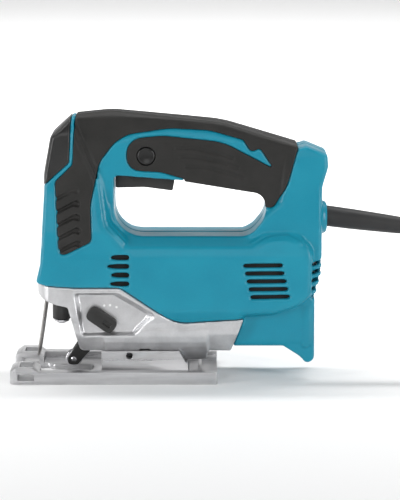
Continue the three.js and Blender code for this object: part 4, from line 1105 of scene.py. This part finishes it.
pin_brass = finish("pin_brass", "ground", 1400, ((0.50, 0.36, 0.14), (0.64, 0.48, 0.20)),
                   (0.80, 0.66, 0.36), 0.6, (0.20, 0.34), (0.12, 0.06), 1.0)
bush_bronze = finish("bush_bronze", "cast", 1200, ((0.30, 0.19, 0.09), (0.42, 0.28, 0.14)),
                     (0.60, 0.44, 0.26), 0.6, (0.35, 0.50), (0.25, 0.10), 0.9)
brush_carbon = finish("brush_carbon", "cast", 1200, ((0.015, 0.015, 0.016), (0.035, 0.035, 0.036)),
                      (0.08, 0.08, 0.08), 0.5, (0.50, 0.65), (0.25, 0.10), 0.1)
circuit_board = finish("circuit_board", "moulded", 900, ((0.02, 0.11, 0.045), (0.03, 0.16, 0.07)),
                       (0.20, 0.36, 0.24), 0.5, (0.35, 0.50), (0.10, 0.05))
# Near-black, for the sheets behind the air slots: painted shade.
screen_black = finish("screen_black", "moulded", 1200,
                      ((0.004, 0.004, 0.004), (0.008, 0.008, 0.008)),
                      (0.01, 0.01, 0.01), 0.2, (0.7, 0.85), (0.1, 0.05))
mark_paint = finish("mark_paint", "moulded", 1200, ((0.62, 0.62, 0.60), (0.72, 0.72, 0.70)),
                    (0.8, 0.8, 0.8), 0.2, (0.4, 0.5), (0.05, 0.03))
wire_steel = finish("wire_steel", "ground", 1400, ((0.22, 0.21, 0.20), (0.32, 0.31, 0.30)),
                    (0.5, 0.5, 0.5), 0.4, (0.25, 0.40), (0.12, 0.06), 1.0)
print(len(bpy.data.materials), "materials")

# %% [markdown]
# ## Every piece gets its finish and its body
# The record says which finish each solid has and which moving body it belongs to. A dressed
# piece takes the place of its solid, and the solids that are only seen when the tool is
# opened keep their own mesh and get the same finishes.

# %% Finishes, bodies and slots
by_slot = {
    "teal_plastic": teal, "soft_black": grip_rubber, "hard_black": hard_black,
    "cast_alloy": cast_metal, "steel": bright_steel, "iron": core_iron, "copper": wire_copper,
    "brass": pin_brass, "bronze": bush_bronze, "carbon": brush_carbon, "board": circuit_board,
    "cord_black": cord_rubber,
}
special = {
    "front_bumper": nose_black, "base_plate": sole_metal, "plunger": plunger_steel,
    "lock_button": button_black, "blade_guard": wire_steel,
}
record = frame["record"]
slot_of = {entry["node"]: entry["material_slot"] for entry in record["subparts"]}
body_of = {
    node: body for body, members in record["behaviour"]["bodies"].items() for node in members
}
for node, solid in nodes.items():
    look = special.get(node, by_slot[slot_of[node]])
    if node in dressed:
        piece = dressed[node]
        piece.data.materials.clear()
        piece.data.materials.append(look)
        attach(piece, body_of[node])
        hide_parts(node)
    elif solid.material_slots:
        solid.material_slots[0].link = "OBJECT"
        solid.material_slots[0].material = look
cord_curve.materials.append(cord_rubber)
for piece, slot in extras.items():
    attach(piece, "housing")
    piece.data.materials.append(mark_paint if piece == index_marks else screen_black)
print(len(dressed), "dressed pieces,", len(nodes) - len(dressed), "solids with a finish")

# %% [markdown]
# ## Floor and light
# A pale sweep of floor curves up behind the tool. Two tall lights stand in front of it, one
# to each side, with a weaker fill between them and a faint strip overhead. They give soft
# highlights along the shell's slopes and leave its lower facets darker. A wide light of its
# own keeps the backdrop white.

# %% Floor sweep
FLOOR_FRONT, FLOOR_BACK, FLOOR_SIDE, WALL_HIGH, SWEEP_R, SHEET = -4000, 6000, 5000, 4000, 1500, 10
sweep = prism(
    [(FLOOR_FRONT, -SHEET), (FLOOR_BACK, -SHEET), (FLOOR_BACK, WALL_HIGH),
     (FLOOR_BACK - SHEET, WALL_HIGH), (FLOOR_BACK - SHEET, 0, SWEEP_R), (FLOOR_FRONT, 0)],
    "x", -FLOOR_SIDE, FLOOR_SIDE, "floor_sweep")
smooth_between_edges(sweep, 40)
floor_paint = bpy.data.materials.new("floor_paint")
floor_paint.use_nodes = True
floor_shader = floor_paint.node_tree.nodes["Principled BSDF"]
floor_shader.inputs["Base Color"].default_value = (0.88, 0.88, 0.88, 1)
floor_shader.inputs["Roughness"].default_value = 0.8
sweep.data.materials.append(floor_paint)

# %% Lights
world = bpy.data.worlds.new("studio")
world.use_nodes = True
world.node_tree.nodes["Background"].inputs["Color"].default_value = (1, 1, 1, 1)
world.node_tree.nodes["Background"].inputs["Strength"].default_value = 0.2
bpy.context.scene.world = world


def soft_light(name, place, size, watts, aim=AIM):
    data = bpy.data.lights.new(name, "AREA")
    data.shape = "RECTANGLE"
    data.size, data.size_y = size
    data.energy = watts
    light = bpy.data.objects.new(name, data)
    bpy.context.collection.objects.link(light)
    light.location = place
    light.rotation_euler = (aim - Vector(place)).to_track_quat("-Z", "Y").to_euler()


soft_light("right_key", (1.5, -1.1, 0.5), (0.5, 1.2), 22)
soft_light("left_strip", (-1.5, -0.8, 0.4), (0.4, 1.2), 20)
soft_light("front_fill", (-0.3, -2.6, 1.1), (1.6, 1.2), 12)
soft_light("top_strip", (0.1, -0.1, 1.6), (1.6, 0.3), 2)
soft_light("backdrop", (0, 0.7, 2.2), (4.0, 1.0), 190, Vector((0, 3.4, 0.4)))
bpy.context.scene.view_settings.view_transform = "Standard"

# %% Update the scene
bpy.context.view_layer.update()
